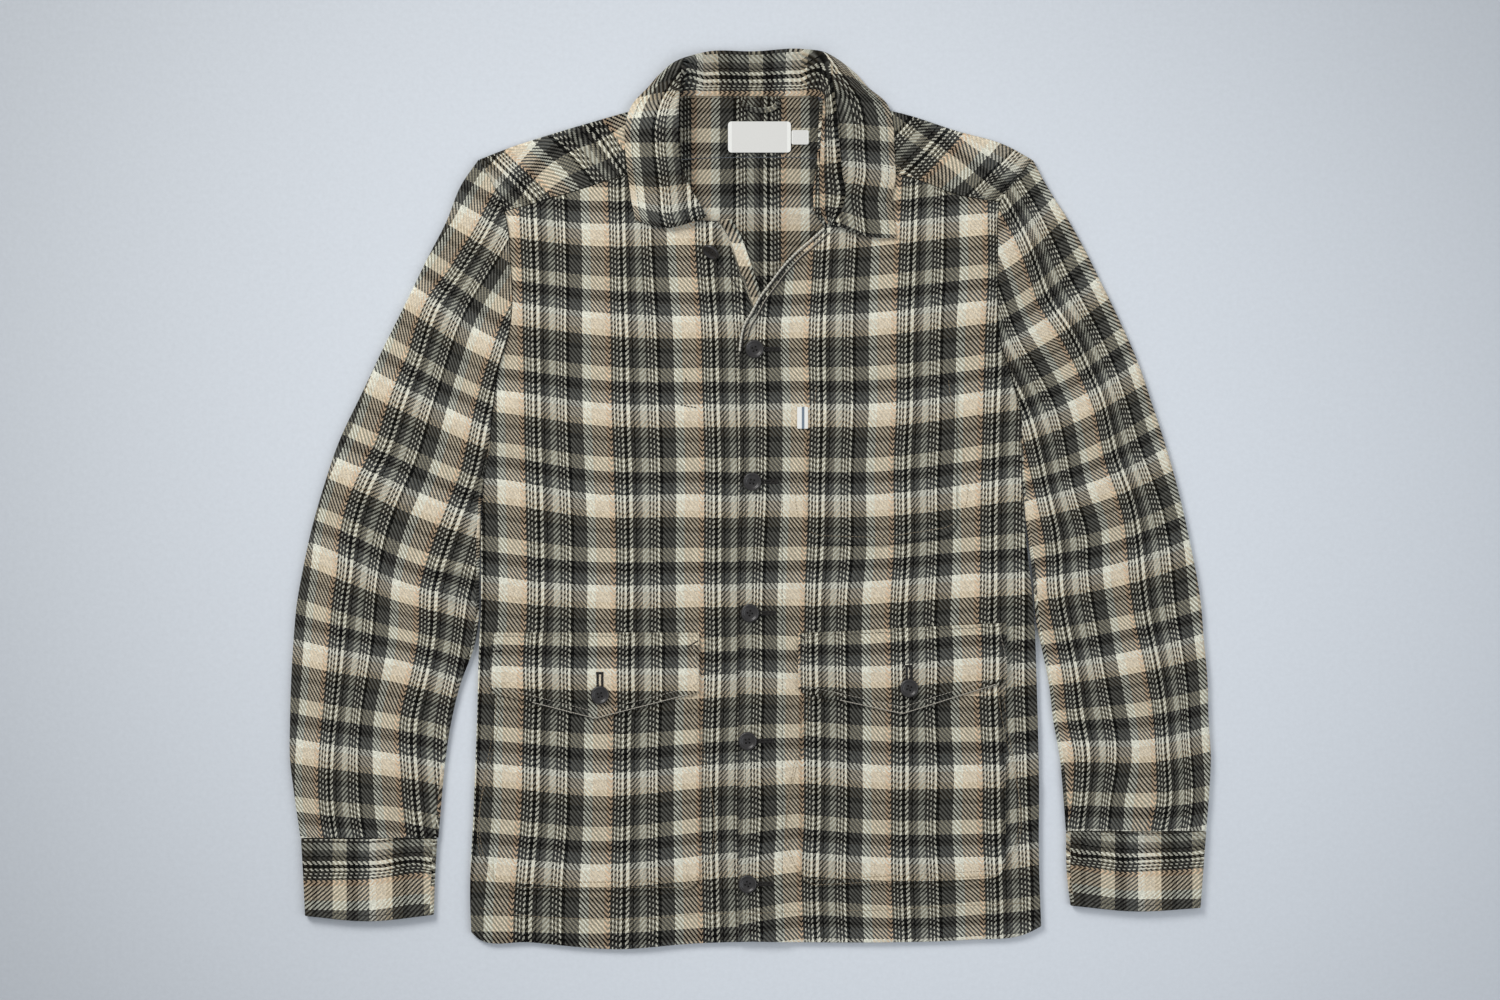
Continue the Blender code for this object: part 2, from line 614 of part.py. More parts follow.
def build_buttons():
    profile = button_profile()
    for button in BUTTONS:
        form = bmesh.new()
        rings = []
        for radius, height in profile:
            circle = []
            for side in range(BUTTON_SIDES):
                angle = 2 * math.pi * side / BUTTON_SIDES
                circle.append(form.verts.new(Vector((radius * math.cos(angle), radius * math.sin(angle), height))
                                             * MM))
            rings.append(circle)
        for lower, upper in zip(rings, rings[1:]):
            for side in range(BUTTON_SIDES):
                following = (side + 1) % BUTTON_SIDES
                form.faces.new((lower[side], lower[following], upper[following], upper[side]))
        form.faces.new(rings[0][::-1])
        form.faces.new(rings[-1])
        mesh = bpy.data.meshes.new(button.name)
        form.to_mesh(mesh)
        form.free()
        mesh.shade_smooth()
        mesh.set_sharp_from_angle(angle=math.radians(40))
        obj = bpy.data.objects.new(button.name, mesh)
        bpy.context.scene.collection.objects.link(obj)
        obj.data.materials.append(material_for(button.name, HORN))
        obj.location = Vector((button.x, button.y, button_seat(button))) * MM
        obj.rotation_euler = (math.radians(button.tilt), 0, math.radians(button.turn))


def centre_on_floor():
    """Moves every piece together, so that the coat's box stands centred on the origin."""
    bpy.context.view_layer.update()
    graph = bpy.context.evaluated_depsgraph_get()
    corners = []
    for obj in bpy.data.objects:
        mesh = obj.evaluated_get(graph).to_mesh()
        corners += [obj.matrix_world @ vertex.co for vertex in mesh.vertices]
        obj.evaluated_get(graph).to_mesh_clear()
    low = [min(corner[axis] for corner in corners) for axis in range(3)]
    high = [max(corner[axis] for corner in corners) for axis in range(3)]
    shift = Vector(((low[0] + high[0]) / 2, (low[1] + high[1]) / 2, low[2]))
    for obj in bpy.data.objects:
        obj.location -= shift


def main():
    clear_scene()
    build_back()
    build_yoke()
    build_fronts()
    build_sleeves()
    build_pockets()
    build_collar()
    build_trim()
    build_buttons()
    centre_on_floor()


main()
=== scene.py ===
"""The chore coat's looks: its cloth with its soft folds, its check, stitching, buttons, light and camera.

The cloth pieces repeat the outlines of the plain model and are drawn much finer. All sizes and tables
are in millimetres, measured from the picture's middle, and become metres in the row frame where a mesh is
made. The wearer's right half is at -X.
"""

import math
from collections import namedtuple
from functools import partial

import bmesh
import bpy
import numpy as np
from mathutils import Euler, Matrix, Vector
from mathutils.bvhtree import BVHTree


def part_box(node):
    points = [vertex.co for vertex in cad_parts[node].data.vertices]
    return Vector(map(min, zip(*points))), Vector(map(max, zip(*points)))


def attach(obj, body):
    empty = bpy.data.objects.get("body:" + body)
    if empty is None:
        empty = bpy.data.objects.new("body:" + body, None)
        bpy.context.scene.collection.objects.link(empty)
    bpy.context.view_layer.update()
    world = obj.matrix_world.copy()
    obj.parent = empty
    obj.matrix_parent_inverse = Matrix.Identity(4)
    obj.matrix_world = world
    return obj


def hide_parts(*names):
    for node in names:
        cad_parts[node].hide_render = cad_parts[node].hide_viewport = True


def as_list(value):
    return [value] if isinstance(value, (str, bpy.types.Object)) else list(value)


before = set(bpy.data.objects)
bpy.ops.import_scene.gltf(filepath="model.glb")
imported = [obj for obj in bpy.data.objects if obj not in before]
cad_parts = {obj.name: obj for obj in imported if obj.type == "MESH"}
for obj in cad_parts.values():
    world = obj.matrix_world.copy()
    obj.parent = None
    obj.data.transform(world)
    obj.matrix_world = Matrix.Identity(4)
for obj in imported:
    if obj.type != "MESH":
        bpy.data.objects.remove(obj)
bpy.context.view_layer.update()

MM = 0.001
TINY = 1e-6

# Cloth, and how its layers lie
CLOTH = 1.8
GAP = 0.3
LAYER = CLOTH + GAP
SEAM = 0.7
BACK_LEVEL = CLOTH / 2
SHOULDER_BEND = 1.2
FRONT_LEVEL = BACK_LEVEL + 2 * SHOULDER_BEND
TRIM = 1.0

# Sleeves and cuffs are flattened tubes
SLEEVE_HEIGHT = 6.2
SLEEVE_CROWN = 1.0
CUFF_HEIGHT = 6.8

# The front edges: the wearer's left front laps over the right one
LAP_EDGE_X = -11
UNDERLAP_EDGE_X = 21
LAP_RAMP = (23, 39)
HEM_CENTRE_Y = -384
ROLL_WIDTH = 16
ROLL_HEIGHT = 1.6
ROLL_TOP = (200, 226)

# Where a front's lines run, from its side to its front edge
FRONT_COLUMNS = (0, 0.11, 0.22, 0.33, 0.44, 0.55, 0.65, 0.75, 0.795, 0.83, 0.87, 0.94, 1)
TOP_REACH = 7

# Buttons
BUTTON_RADIUS = 8.0
NECK_BUTTON_LIFT = 5.2

# A flap lies on its front at its top and steps up onto its pocket
FLAP_STEP = (3, 15)
POCKET_BELOW_FLAP_TOP = 18

Side = namedtuple("Side", "armhole side_edge shoulder yoke_seam hem sleeve cuff")
SleeveRow = namedtuple("SleeveRow", "outer_x outer_y inner_x inner_y armhole_share")
CuffRow = namedtuple("CuffRow", "outer_x outer_y inner_x inner_y sag")
Fold = namedtuple("Fold", "x0 y0 x1 y1 width height")
Patch = namedtuple("Patch", "left right top bottom radius point rise")
CollarSection = namedtuple("CollarSection", "seam fold fall edge")
Button = namedtuple("Button", "name x y layers tilt turn")
Yarns = namedtuple("Yarns", "threads units sett")


def rows(kind, table):
    return [kind(*row) for row in table]


# Outlines of the wearer's right half, at -X, listed from the shoulder down
RIGHT = Side(
    armhole=[(-236, 295), (-227, 279), (-220, 266), (-214, 250), (-211, 235), (-209, 206), (-207, 170),
             (-210, 145), (-219, 114), (-224, 80), (-227, 46)],
    side_edge=[(-227, 46), (-232, 13), (-234, -20), (-235, -105), (-236, -123), (-238, -192), (-241, -270),
               (-244, -345), (-243, -376)],
    shoulder=[(-236, 295), (-213, 304), (-170, 318), (-126, 331), (-70, 347)],
    yoke_seam=[(-214, 250), (-184, 258), (-148, 269), (-110, 281), (-66, 289)],
    hem=[(-243, -376), (-238, -381), (-192, -385), (-115, -391), (-49, -386), (21, HEM_CENTRE_Y)],
    sleeve=rows(SleeveRow, [
        (-236, 295, -227, 46, 1.0), (-251, 273, -228, 40, 0.85), (-264, 241, -229, 34, 0.66),
        (-280, 210, -230, 28, 0.46), (-299, 171, -231.2, 21, 0.30), (-319, 131, -232.4, 12, 0.16),
        (-338, 91, -233.4, 1, 0.06), (-357, 51, -234.2, -14, 0), (-371, 10, -234.8, -33, 0),
        (-382, -29, -235.2, -55, 0), (-389, -62, -235.5, -79, 0), (-394, -90, -236, -103, 0),
        (-397, -123, -240, -128, 0), (-399, -157, -252, -161, 0), (-400, -192, -260, -194, 0),
        (-400, -227, -265, -227, 0), (-397, -252, -267.5, -252, 0), (-391, -294, -271, -294, 0),
    ]),
    cuff=rows(CuffRow, [
        (-390.5, -294.7, -272, -294.7, 0), (-388.5, -330, -274, -330, 1), (-387, -362, -275, -361, 5),
    ]),
)

# Outlines of the wearer's left half, at +X, listed from the shoulder down
LEFT = Side(
    armhole=[(244, 295), (235, 283), (224, 271), (216, 258), (214, 242), (214, 220), (214, 191), (214, 170),
             (218, 130), (223, 117), (228, 99), (233, 79), (235, 46)],
    side_edge=[(235, 46), (236, 2), (239, -36), (243, -70), (246, -105), (248, -158), (250, -244),
               (250, -314), (252, -371)],
    shoulder=[(244, 295), (222, 307), (178, 320), (135, 334), (60, 347)],
    yoke_seam=[(216, 258), (181, 264), (143, 278), (100, 288), (57, 290)],
    hem=[(252, -371), (243, -376), (185, -383), (119, -385), (52, -385), (LAP_EDGE_X, HEM_CENTRE_Y)],
    sleeve=rows(SleeveRow, [
        (244, 295, 235, 46, 1.0), (258, 269, 235.2, 40, 0.85), (274, 244, 235.4, 34, 0.66),
        (288, 219, 235.6, 27, 0.46), (302, 191, 235.9, 18, 0.30), (319, 156, 236.3, 8, 0.16),
        (335, 120, 237, -3, 0.06), (348, 82, 238.2, -18, 0), (361, 42, 240.4, -37, 0),
        (372, 2, 242.8, -55, 0), (382, -43, 245, -79, 0), (390, -88, 247, -105, 0),
        (393, -123, 251, -125, 0), (396, -157, 258, -159, 0), (397, -192, 262, -192, 0),
        (399, -227, 268, -227, 0), (398, -249, 270, -249, 0), (395, -288, 273, -288, 0),
    ]),
    cuff=rows(CuffRow, [
        (395, -288.7, 273, -288.7, 0), (392, -328, 274, -328, 1), (390, -355, 277, -353, 4),
    ]),
)

# Necklines run from the front edge to the shoulder strap, front edges from the hem up
RIGHT_NECKLINE = [(-66, 289), (-61, 268), (-54, 252), (-43, 243), (-17, 243)]
RIGHT_FRONT_EDGE = [(UNDERLAP_EDGE_X, 112), (18, 138), (13, 164), (6, 186), (-3, 213), (-9, 229), (-17, 243)]
LEFT_NECKLINE = [(64, 237), (56, 247), (54, 262), (57, 290)]
LEFT_FRONT_EDGE = [(LAP_EDGE_X, 128), (-10, 138), (-7, 151), (0, 163), (7, 176), (16, 188), (25, 200),
                   (39, 215), (53, 227), (64, 237)]
BACK_YOKE_SEAM = [(-218, 261), (-120, 288), (0, 297), (120, 289), (217, 261)]
BACK_NECK_Y = 348

# Soft ridges (above 0) and troughs (below 0), each along a line
FRONT_FOLDS = rows(Fold, [
    (-200, 215, -196, 120, 22, 1.6), (-150, 190, -140, 60, 34, 1.2), (-55, 190, -60, 30, 30, 1.0),
    (-34, 224, -6, 160, 20, 3.0), (200, 235, 196, 140, 22, 1.6), (70, 212, 80, 156, 24, 1.2),
])
SLEEVE_FOLDS = rows(Fold, [
    (-258, 196, -262, 90, 26, -1.6), (-300, 150, -262, 60, 24, -1.2), (-274, -66, -240, -74, 13, -1.8),
    (-330, -30, -300, -160, 26, -1.0), (-341, -238, -331, -290, 12, -1.8), (258, 196, 262, 100, 26, -1.6),
    (300, 150, 268, 50, 24, -1.2), (330, -40, 300, -150, 26, -1.0), (322, -240, 308, -286, 12, -1.8),
])

# Patch pockets and flaps
HIP_RIGHT = Patch(left=-223, right=-45, top=-116, bottom=-339, radius=14, point=0, rise=0)
HIP_LEFT = Patch(left=44, right=221, top=-112, bottom=-333, radius=14, point=0, rise=9)
CHEST = Patch(left=50, right=178, top=104, bottom=-34, radius=11, point=6, rise=8)
FLAP_RIGHT = Patch(left=-226, right=-45, top=-116, bottom=-168, radius=4, point=23, rise=0)
FLAP_LEFT = Patch(left=41, right=222, top=-112, bottom=-163, radius=4, point=24, rise=9)

# The collar in cross-sections from the wearer's right end, round the back neck, to the left end:
# the neck seam, the top of the roll, the middle of the fall and its outer edge, each (x, y, z)
COLLAR = rows(CollarSection, [
    ((-44, 242, 5.7), (-40, 244, 8), (-72, 235, 8), (-100, 242, 5.7)),
    ((-51, 252, 5.7), (-45, 254, 10), (-75, 248, 10), (-103, 255, 5.7)),
    ((-60, 266, 5.7), (-53, 269, 13), (-79, 266, 11.5), (-105, 269, 5.7)),
    ((-68, 282, 5.7), (-60, 285, 16), (-83, 285, 13), (-107, 285, 5.7)),
    ((-72, 301, 5.7), (-62, 303, 18), (-85, 304, 14), (-109, 305, 5.7)),
    ((-73, 320, 5.7), (-63, 323, 19), (-86, 323, 14), (-109, 323, 5.7)),
    ((-72, 337, 5.7), (-63, 343, 19), (-85, 342, 13), (-104, 340, 5.6)),
    ((-67, 347, 5.2), (-61, 363, 17), (-78, 361, 10.5), (-90, 356, 4.0)),
    ((-56, 350, 4.4), (-57, 381, 11), (-67, 378, 6), (-74, 371, 2.2)),
    ((-40, 350, 3.5), (-43, 386, 6), (-47, 377, 1.7), (-50, 359, 1.2)),
    ((5, 350, 3.3), (4, 387, 5.5), (4, 376, 1.5), (5, 356, 1.2)),
    ((42, 350, 3.5), (46, 389, 6), (50, 379, 1.7), (52, 360, 1.2)),
    ((56, 350, 4.4), (63, 386, 11.5), (76, 380, 6), (86, 372, 2.2)),
    ((62, 348, 5.2), (70, 366, 18), (88, 364, 11), (102, 356, 4.0)),
    ((63, 340, 5.7), (73, 347, 20), (97, 345, 13.5), (118, 342, 5.6)),
    ((62, 325, 5.7), (75, 326, 21), (100, 325, 15), (123, 324, 5.7)),
    ((61, 304, 5.7), (77, 304, 20), (101, 303, 15), (124, 302, 5.7)),
    ((60, 283, 5.7), (79, 283, 18), (102, 281, 14), (125, 278, 5.7)),
    ((60, 264, 5.7), (82, 262, 15), (103, 260, 12), (122, 258, 5.7)),
    ((61, 250, 5.7), (78, 249, 11), (100, 243, 10), (124, 242, 5.7)),
    ((66, 239, 5.7), (71, 238, 8), (98, 228, 8), (126, 226, 5.7)),
])
COLLAR_LOWEST = 1.1

# Trim sewn inside the neck, and the tab in the chest pocket's seam
LABEL = Patch(left=-20, right=34.6, top=328, bottom=301, radius=3, point=0, rise=0)
SIZE_TAB = Patch(left=35.2, right=50, top=320.5, bottom=308, radius=1.5, point=0, rise=0)
POCKET_TAB = Patch(left=40, right=49.6, top=80, bottom=61, radius=1, point=0, rise=0)
LOOP = [(-8, 345), (-2, 339.5), (9, 337.5), (19, 339.5), (25, 345)]
LOOP_WIDTH = 4.6
LOOP_THICK = 1.2
LOOP_LIFT = 1.0

# Buttons, with the layers of cloth between each and its front
BUTTONS = rows(Button, [
    ("button_front_1", 3, 130, 0, 0, 20), ("button_front_2", 1, 15, 0, 0, -12),
    ("button_front_3", -1, -99, 0, 0, 35), ("button_front_4", -3, -210, 0, 0, 8),
    ("button_front_5", -3, -334, 0, 0, -30), ("button_flap_right", -131, -170, 2, 0, 15),
    ("button_flap_left", 137, -164, 2, 0, -20), ("button_neck", -34, 215, 0, 58, -35),
])

# The check's place on each piece: how many repeats of it lie across (warp) or along (weft) from its
# start, and the places (x, y) where they do
FRONT_RIGHT_WARP = {
    0: [
        (-146, 229), (-146, 151), (-145, 74), (-142, -5), (-141, -85), (-142, -140), (-144, -210),
        (-144, -249), (-145, -288), (-147, -323), (-148, -359),
    ],
    1: [
        (-72, 229), (-70, 186), (-67, 149), (-65, 73), (-64, 32), (-64, -5), (-64, -85), (-64, -140),
        (-66, -244), (-66, -318), (-65, -359),
    ],
    -1: [
        (-225, 234), (-221, 164), (-220, 86), (-219, -1), (-218, -79), (-220, -140), (-222, -205),
        (-223, -240), (-225, -286), (-228, -323), (-231, -359),
    ],
    1.9: [(3, 69), (3, -175), (1, -314)],
}
FRONT_RIGHT_WEFT = {
    0: [(-211, 246), (-136, 239), (-59, 241)],
    1: [(-208, 171), (-136, 162), (-55, 159)],
    2: [(-208, 93), (-136, 84), (-53, 82), (-18, 82)],
    3: [(-210, 16), (-133, 4), (-53, 4), (-18, 3)],
    4: [(-210, -69), (-131, -75), (-53, -74), (-18, -74)],
    6: [(-218, -230), (-131, -238), (-53, -232), (-18, -230)],
    7: [(-218, -311), (-133, -317), (-55, -311), (-18, -307)],
}
FLAP_RIGHT_WARP = {
    -1: [(-224, -157), (-222, -121), (-221, -184)],
    0: [(-141, -157), (-140, -121), (-140, -185)],
    1: [(-62, -157), (-62, -121), (-62, -175)],
}
FLAP_RIGHT_WEFT = {
    5: [(-210, -145), (-131, -147), (-53, -147)],
    4.604: [(-210, -116), (-131, -117), (-53, -116)],
}
FRONT_LEFT_WARP = {
    0: [
        (30, 184), (27, 151), (27, 108), (28, 73), (27, -5), (25, -46), (24, -83), (24, -124), (24, -157),
        (23, -201), (23, -238), (23, -282), (21, -315), (22, -359),
    ],
    1: [
        (104, 186), (103, 151), (103, 108), (103, 73), (101, 30), (101, -5), (101, -46), (98, -81),
        (98, -205), (98, -241), (98, -286), (97, -321), (98, -359),
    ],
    2: [
        (182, 236), (182, 197), (180, 160), (179, 117), (178, 83), (177, 41), (176, 5), (176, -38),
        (175, -76), (175, -204), (177, -240), (176, -286), (178, -321), (179, -358),
    ],
}
FRONT_LEFT_WEFT = {
    1: [(38, 159), (112, 162), (191, 171)],
    2: [(38, 83), (112, 83), (191, 92), (-3, 82)],
    3: [(38, 4), (112, 4), (191, 13), (227, 18), (-3, 4)],
    4: [(38, -73), (112, -71), (191, -65), (227, -64), (-3, -73)],
    5: [(38, -151), (-3, -149)],
    6: [(38, -227), (-3, -229), (227, -223), (112, -230), (191, -229)],
    7: [(38, -305), (-3, -311), (227, -301), (112, -311), (191, -310)],
    0: [(191, 247)],
    7.604: [(38, -351), (104, -353), (191, -351), (225, -348)],
}
HIP_LEFT_WEFT = {
    6: [(60, -227), (112, -231), (191, -231)],
    7: [(60, -308), (112, -311), (191, -311)],
}
FLAP_LEFT_WARP = {
    1: [(97, -123), (97, -157), (98, -179)],
    2: [(176, -116), (177, -151), (175, -179)],
}
FLAP_LEFT_WEFT = {
    5: [(51, -144), (112, -145), (191, -138), (217, -137)],
    4.604: [(69, -116), (112, -114), (191, -107), (217, -107)],
}
SLEEVE_RIGHT_WARP = {
    0.312: [
        (-221, 269), (-238, 238), (-262, 199), (-281, 173), (-297, 128), (-312, 90), (-325, 51),
        (-342, 17), (-356, -27), (-359, -62), (-364, -97), (-367, -140), (-371, -184), (-375, -227),
        (-374, -271),
    ],
    1.312: [
        (-214, 156), (-224, 130), (-234, 99), (-243, 64), (-251, 25), (-265, -10), (-279, -49),
        (-287, -79), (-288, -114), (-294, -149), (-304, -192), (-304, -231), (-302, -266),
    ],
}
SLEEVE_RIGHT_WEFT = {
    0: [(-248, 254)],
    1: [(-292, 184), (-231, 144)],
    2: [(-321, 108), (-255, 75)],
    3: [(-355, 34), (-279, 2)],
    4: [(-366, -44), (-299, -73)],
    5: [(-379, -126), (-305, -140)],
    6: [(-385, -210), (-316, -220)],
    7: [(-386, -293), (-314, -299)],
}
SLEEVE_LEFT_WARP = {
    0: [
        (218, 206), (230, 173), (243, 143), (264, 108), (278, 76), (286, 37), (293, 8), (305, -27),
        (306, -64), (312, -105), (319, -143), (327, -184), (331, -218), (325, -262),
    ],
    0.312: [
        (248, 173), (267, 143), (285, 108), (298, 76), (306, 37), (316, 8), (325, -27), (328, -62),
        (333, -105), (341, -140), (349, -184), (351, -218), (352, -262),
    ],
    1: [(297, 182), (330, 108), (345, 60), (356, 30), (371, -14), (377, -44), (386, -127), (392, -210)],
    -0.688: [(256, -49), (257, -79), (264, -120), (271, -155), (275, -193), (280, -220), (279, -264)],
}
SLEEVE_LEFT_WEFT = {
    0: [(224, 225), (264, 262)],
    1: [(256, 157), (301, 192)],
    2: [(288, 90), (334, 118)],
    3: [(305, 18), (358, 43)],
    4: [(250, -69), (317, -56), (378, -36)],
    5: [(263, -144), (330, -132), (389, -118)],
    6: [(273, -210), (342, -209), (395, -198)],
    7: [(338, -288), (282, -286), (389, -284)],
}
STRAP_RIGHT_WARP = {
    0: [(-188, 308), (-164, 286)],
    0.312: [(-214, 301), (-190, 278)],
    -0.688: [(-121, 318), (-107, 297)],
    -0.352: [(-144, 304)],
}
STRAP_RIGHT_WEFT = {
    0: [(-195, 299), (-171, 325)],
    0.132: [(-200, 304)],
    -0.31: [(-176, 282), (-131, 304)],
}
STRAP_LEFT_WARP = {
    0: [(192, 284), (211, 304)],
    0.312: [(167, 299), (184, 318)],
    0.648: [(144, 316)],
    -0.352: [(211, 272)],
}
STRAP_LEFT_WEFT = {
    0: [(192, 306)],
    -0.31: [(179, 291), (208, 267)],
    0.13: [(199, 312), (230, 295)],
}
BACK_WARP = {
    0: [(50, 304), (50, -262)],
    1: [(-28, 304), (-28, -262)],
}
BACK_WEFT = {
    0.604: [(-1, 286)],
    1: [(-1, 253), (-131, 253), (130, 253)],
    2: [(-1, 174)],
}
YOKE_BACK_WARP = {
    0: [(50, 356), (50, 286)],
    1: [(-28, 356), (-28, 286)],
}
YOKE_BACK_WEFT = {
    0.275: [(-1, 347), (-131, 347)],
    0.9: [(-1, 298), (130, 298)],
}
CUFF_RIGHT_WARP = {
    0: [(-379, -356), (-323, -355), (-284, -350)],
    0.312: [(-358, -330), (-318, -328), (-284, -324)],
    0.435: [(-375, -320), (-318, -319), (-279, -317)],
    0.489: [(-375, -315), (-318, -314), (-279, -312)],
    0.614: [(-358, -304), (-323, -304), (-279, -301)],
}
CUFF_RIGHT_WEFT = {
    -1: [(-410, -323)],
    0: [(-331, -323), (-331, -358), (-331, -301)],
    1: [(-251, -323)],
}
CUFF_LEFT_WARP = {
    0: [(282, -341), (308, -344), (347, -346), (386, -346)],
    0.312: [(286, -318), (308, -321), (347, -322), (386, -320)],
    0.435: [(286, -311), (321, -313), (382, -311)],
    0.489: [(286, -305), (321, -308), (382, -307)],
    0.614: [(308, -296), (386, -295)],
}
CUFF_LEFT_WEFT = {
    -1: [(257, -323)],
    0: [(336, -323), (336, -297), (336, -349)],
    1: [(415, -323)],
}

# The row frame stands a little aside of the picture's frame: the label's corner is in both
LABEL_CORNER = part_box("neck_label")[0]
SHIFT = np.array((LABEL_CORNER[0] / MM - LABEL.left, LABEL_CORNER[1] / MM - LABEL.bottom, 0.0))

# How much finer the cloth is drawn than the plain model
FRONT_FINE = 10
FRONT_COLUMNS_FINE = 8
BACK_FINE = 5
YOKE_FINE = 5
SLEEVE_FINE = 11
CUFF_FINE = 20

# The check's repeats across the warp and along the weft, and its twill, counted in threads
TWILL = 4
HERRINGBONE = 41
HERRINGBONE_START = 23
WARP_REPEAT = 76.5
WEFT_REPEAT = 79.2

WHITE_WARP = (0.688, 0.688, 0.575)
CREAM_WARP = (0.66, 0.561, 0.414)
PEACH_WARP = (0.617, 0.452, 0.301)
PALE_LINE = (0.688, 0.674, 0.561)
DARK_LINE = (0.0304, 0.0289, 0.0252)
BLACK_WARP = (0.00258, 0.00258, 0.00213)
GREY_WARP = (0.0865, 0.0846, 0.0726)
PALE_GREY_WARP = (0.338, 0.338, 0.282)
SHADE_WARP = (0.0619, 0.061, 0.0532)

WHITE_WEFT = (0.716, 0.702, 0.603)
CREAM_WEFT = (0.617, 0.547, 0.426)
PEACH_WEFT = (0.507, 0.426, 0.301)
BROWN_WEFT = (0.0382, 0.0327, 0.023)
DARK_WEFT = (0.0115, 0.0115, 0.00966)
GREY_WEFT = (0.0382, 0.0382, 0.0335)
TAN_WEFT = (0.338, 0.313, 0.235)
SOOT_WEFT = (0.0188, 0.0181, 0.0167)
BLACK_WEFT = (0.00672, 0.00672, 0.00672)
SLATE_WEFT = (0.0619, 0.0654, 0.0628)
PALE_SLATE_WEFT = (0.0894, 0.0932, 0.0885)

# The threads of a repeat, and where each colour starts, in a number of units of the repeat
WARP = Yarns(threads=82, units=88, sett=[
    (0, WHITE_WARP), (7.5, CREAM_WARP), (21.5, PEACH_WARP), (26.5, DARK_LINE), (28.5, PALE_LINE),
    (30.2, DARK_LINE), (31.9, PALE_LINE), (33.6, DARK_LINE), (35.2, PALE_LINE), (37, BLACK_WARP),
    (41, PALE_LINE), (44.3, DARK_LINE), (46.6, BLACK_WARP), (48.7, SHADE_WARP), (51.8, GREY_WARP),
    (53.8, PALE_GREY_WARP), (60, DARK_LINE), (61.7, PALE_LINE), (63.4, DARK_LINE), (65.1, PALE_LINE),
    (66.8, DARK_LINE), (68.5, PALE_LINE), (70.5, BLACK_WARP), (73.6, SHADE_WARP), (87, WHITE_WARP),
])
WEFT = Yarns(threads=71, units=91, sett=[
    (0, WHITE_WEFT), (6, CREAM_WEFT), (16, PEACH_WEFT), (23.3, BROWN_WEFT), (33.5, DARK_WEFT),
    (38.5, GREY_WEFT), (53, TAN_WEFT), (68, SOOT_WEFT), (73, BLACK_WEFT), (76.5, SOOT_WEFT),
    (79, SLATE_WEFT), (83, PALE_SLATE_WEFT), (90.3, WHITE_WEFT),
])

# How the plaid's threads take the light, and the finish of everything else
SHEEN_ROUGHNESS = 0.55
PLAID_ROUGHNESS, PLAID_SHEEN, PLAID_SPECULAR = 0.95, 0.02, 0.03
PLAID_BUMP, PLAID_BUMP_DEPTH = 0.5, 0.0003
ON_TOP = 0.96
RIDGE_IN_DARK, RIDGE_IN_LIGHT = 0.8, 0.07
DARKNESS_RATE = 0.9
# The light left where the inside attribute is full: the duller inner face, and painted shade in the neck and
# under the collar
INNER_FACE_AND_PAINTED_SHADE = 0.8
THREAD_LIGHT, CROWN_LIGHT, LUCK_LIGHT, FIBRE_LIGHT, CLOUD_LIGHT = 0.58, 0.36, 0.38, 0.5, 0.18
UNLIKE_LIGHT = 0.37
LUCK_STEP = 7.31
GRAINS_IN_REPEAT, FIBRE_SCALE, CLOUD_SCALE, FIBRE_HEIGHT = 60.0, 1.6, 0.05, 0.8
GRAIN_SCALE, GRAIN_DEPTH, GRAIN_VARIATION = 900.0, 0.00012, 0.12
FINE_DEPTH = 0.0001
TAPE, TAPE_ROUGHNESS, RIB_SCALE = (0.78, 0.78, 0.75), 0.75, 1200.0
HORN_DARK, HORN_LIGHT = (0.008, 0.008, 0.009), (0.042, 0.038, 0.037)
HORN_ROUGHNESS, HORN_CLOUD_SCALE = 0.33, 160.0
# Painted light on the floor: a pool of light in its middle fading to painted shade far out, and a slope of
# light across it
FLOOR_LIT_MIDDLE, FLOOR_SHADED_FAR = (0.70, 0.742, 0.795), (0.33, 0.352, 0.38)
FLOOR_ROUGHNESS, FLOOR_REACH, FLOOR_DARKEST, FLOOR_LIGHT, FLOOR_LIGHT_SLOPE = 0.95, 0.95, 0.85, 0.94, 0.1
FLOOR_ROUNDING = 0.2
SPECKLE_SCALE, SPECKLE_LIGHT = 260.0, 0.12

# Soft ridges and troughs that only the fine cloth has
FRONT_CREASES = rows(Fold, [
    (-228, 110, -206, 175, 12, 0.9), (-222, 60, -190, 96, 16, 0.8), (-235, -20, -190, -60, 22, 0.7),
    (-120, 20, -108, -90, 28, 0.8), (-30, -110, -34, -250, 26, 0.7), (-236, -360, -150, -352, 14, 0.6),
    (40, -20, 34, -100, 20, 0.6), (232, 60, 204, 120, 14, 0.9), (216, 150, 190, 60, 18, 0.8),
    (236, -30, 196, -80, 20, 0.7), (246, -250, 236, -340, 12, 0.8), (120, -356, 220, -352, 13, 0.6),
])
SLEEVE_CREASES = rows(Fold, [
    (-268, -68, -240, -73, 7, -1.6), (-240, -84, -246, -126, 9, 1.0), (-266, -81, -240, -86, 9, 2.0),
    (-272, -60, -242, -64, 9, 1.7), (-250, 160, -240, 60, 13, -0.9), (-330, 70, -352, -10, 15, 0.9),
    (-310, 30, -300, -60, 18, -0.8), (-375, -90, -366, -190, 15, 0.8), (-300, -130, -296, -220, 17, 0.7),
    (-366, -250, -362, -292, 7, -0.9), (-312, -246, -306, -292, 8, -1.0), (-290, -250, -288, -292, 6, 0.8),
    (250, 120, 243, 40, 13, -0.9), (328, 70, 350, -10, 15, 0.9), (262, -40, 292, -64, 12, -1.0),
    (252, 104, 262, 40, 12, 1.1), (258, -24, 294, -46, 11, 0.9), (318, -246, 316, -286, 8, 0.8),
    (378, -96, 370, -186, 15, 0.8), (292, -120, 300, -214, 17, 0.7), (372, -244, 368, -286, 8, -0.9),
    (344, -246, 340, -286, 7, 0.8), (296, -246, 292, -286, 7, -1.0),
])
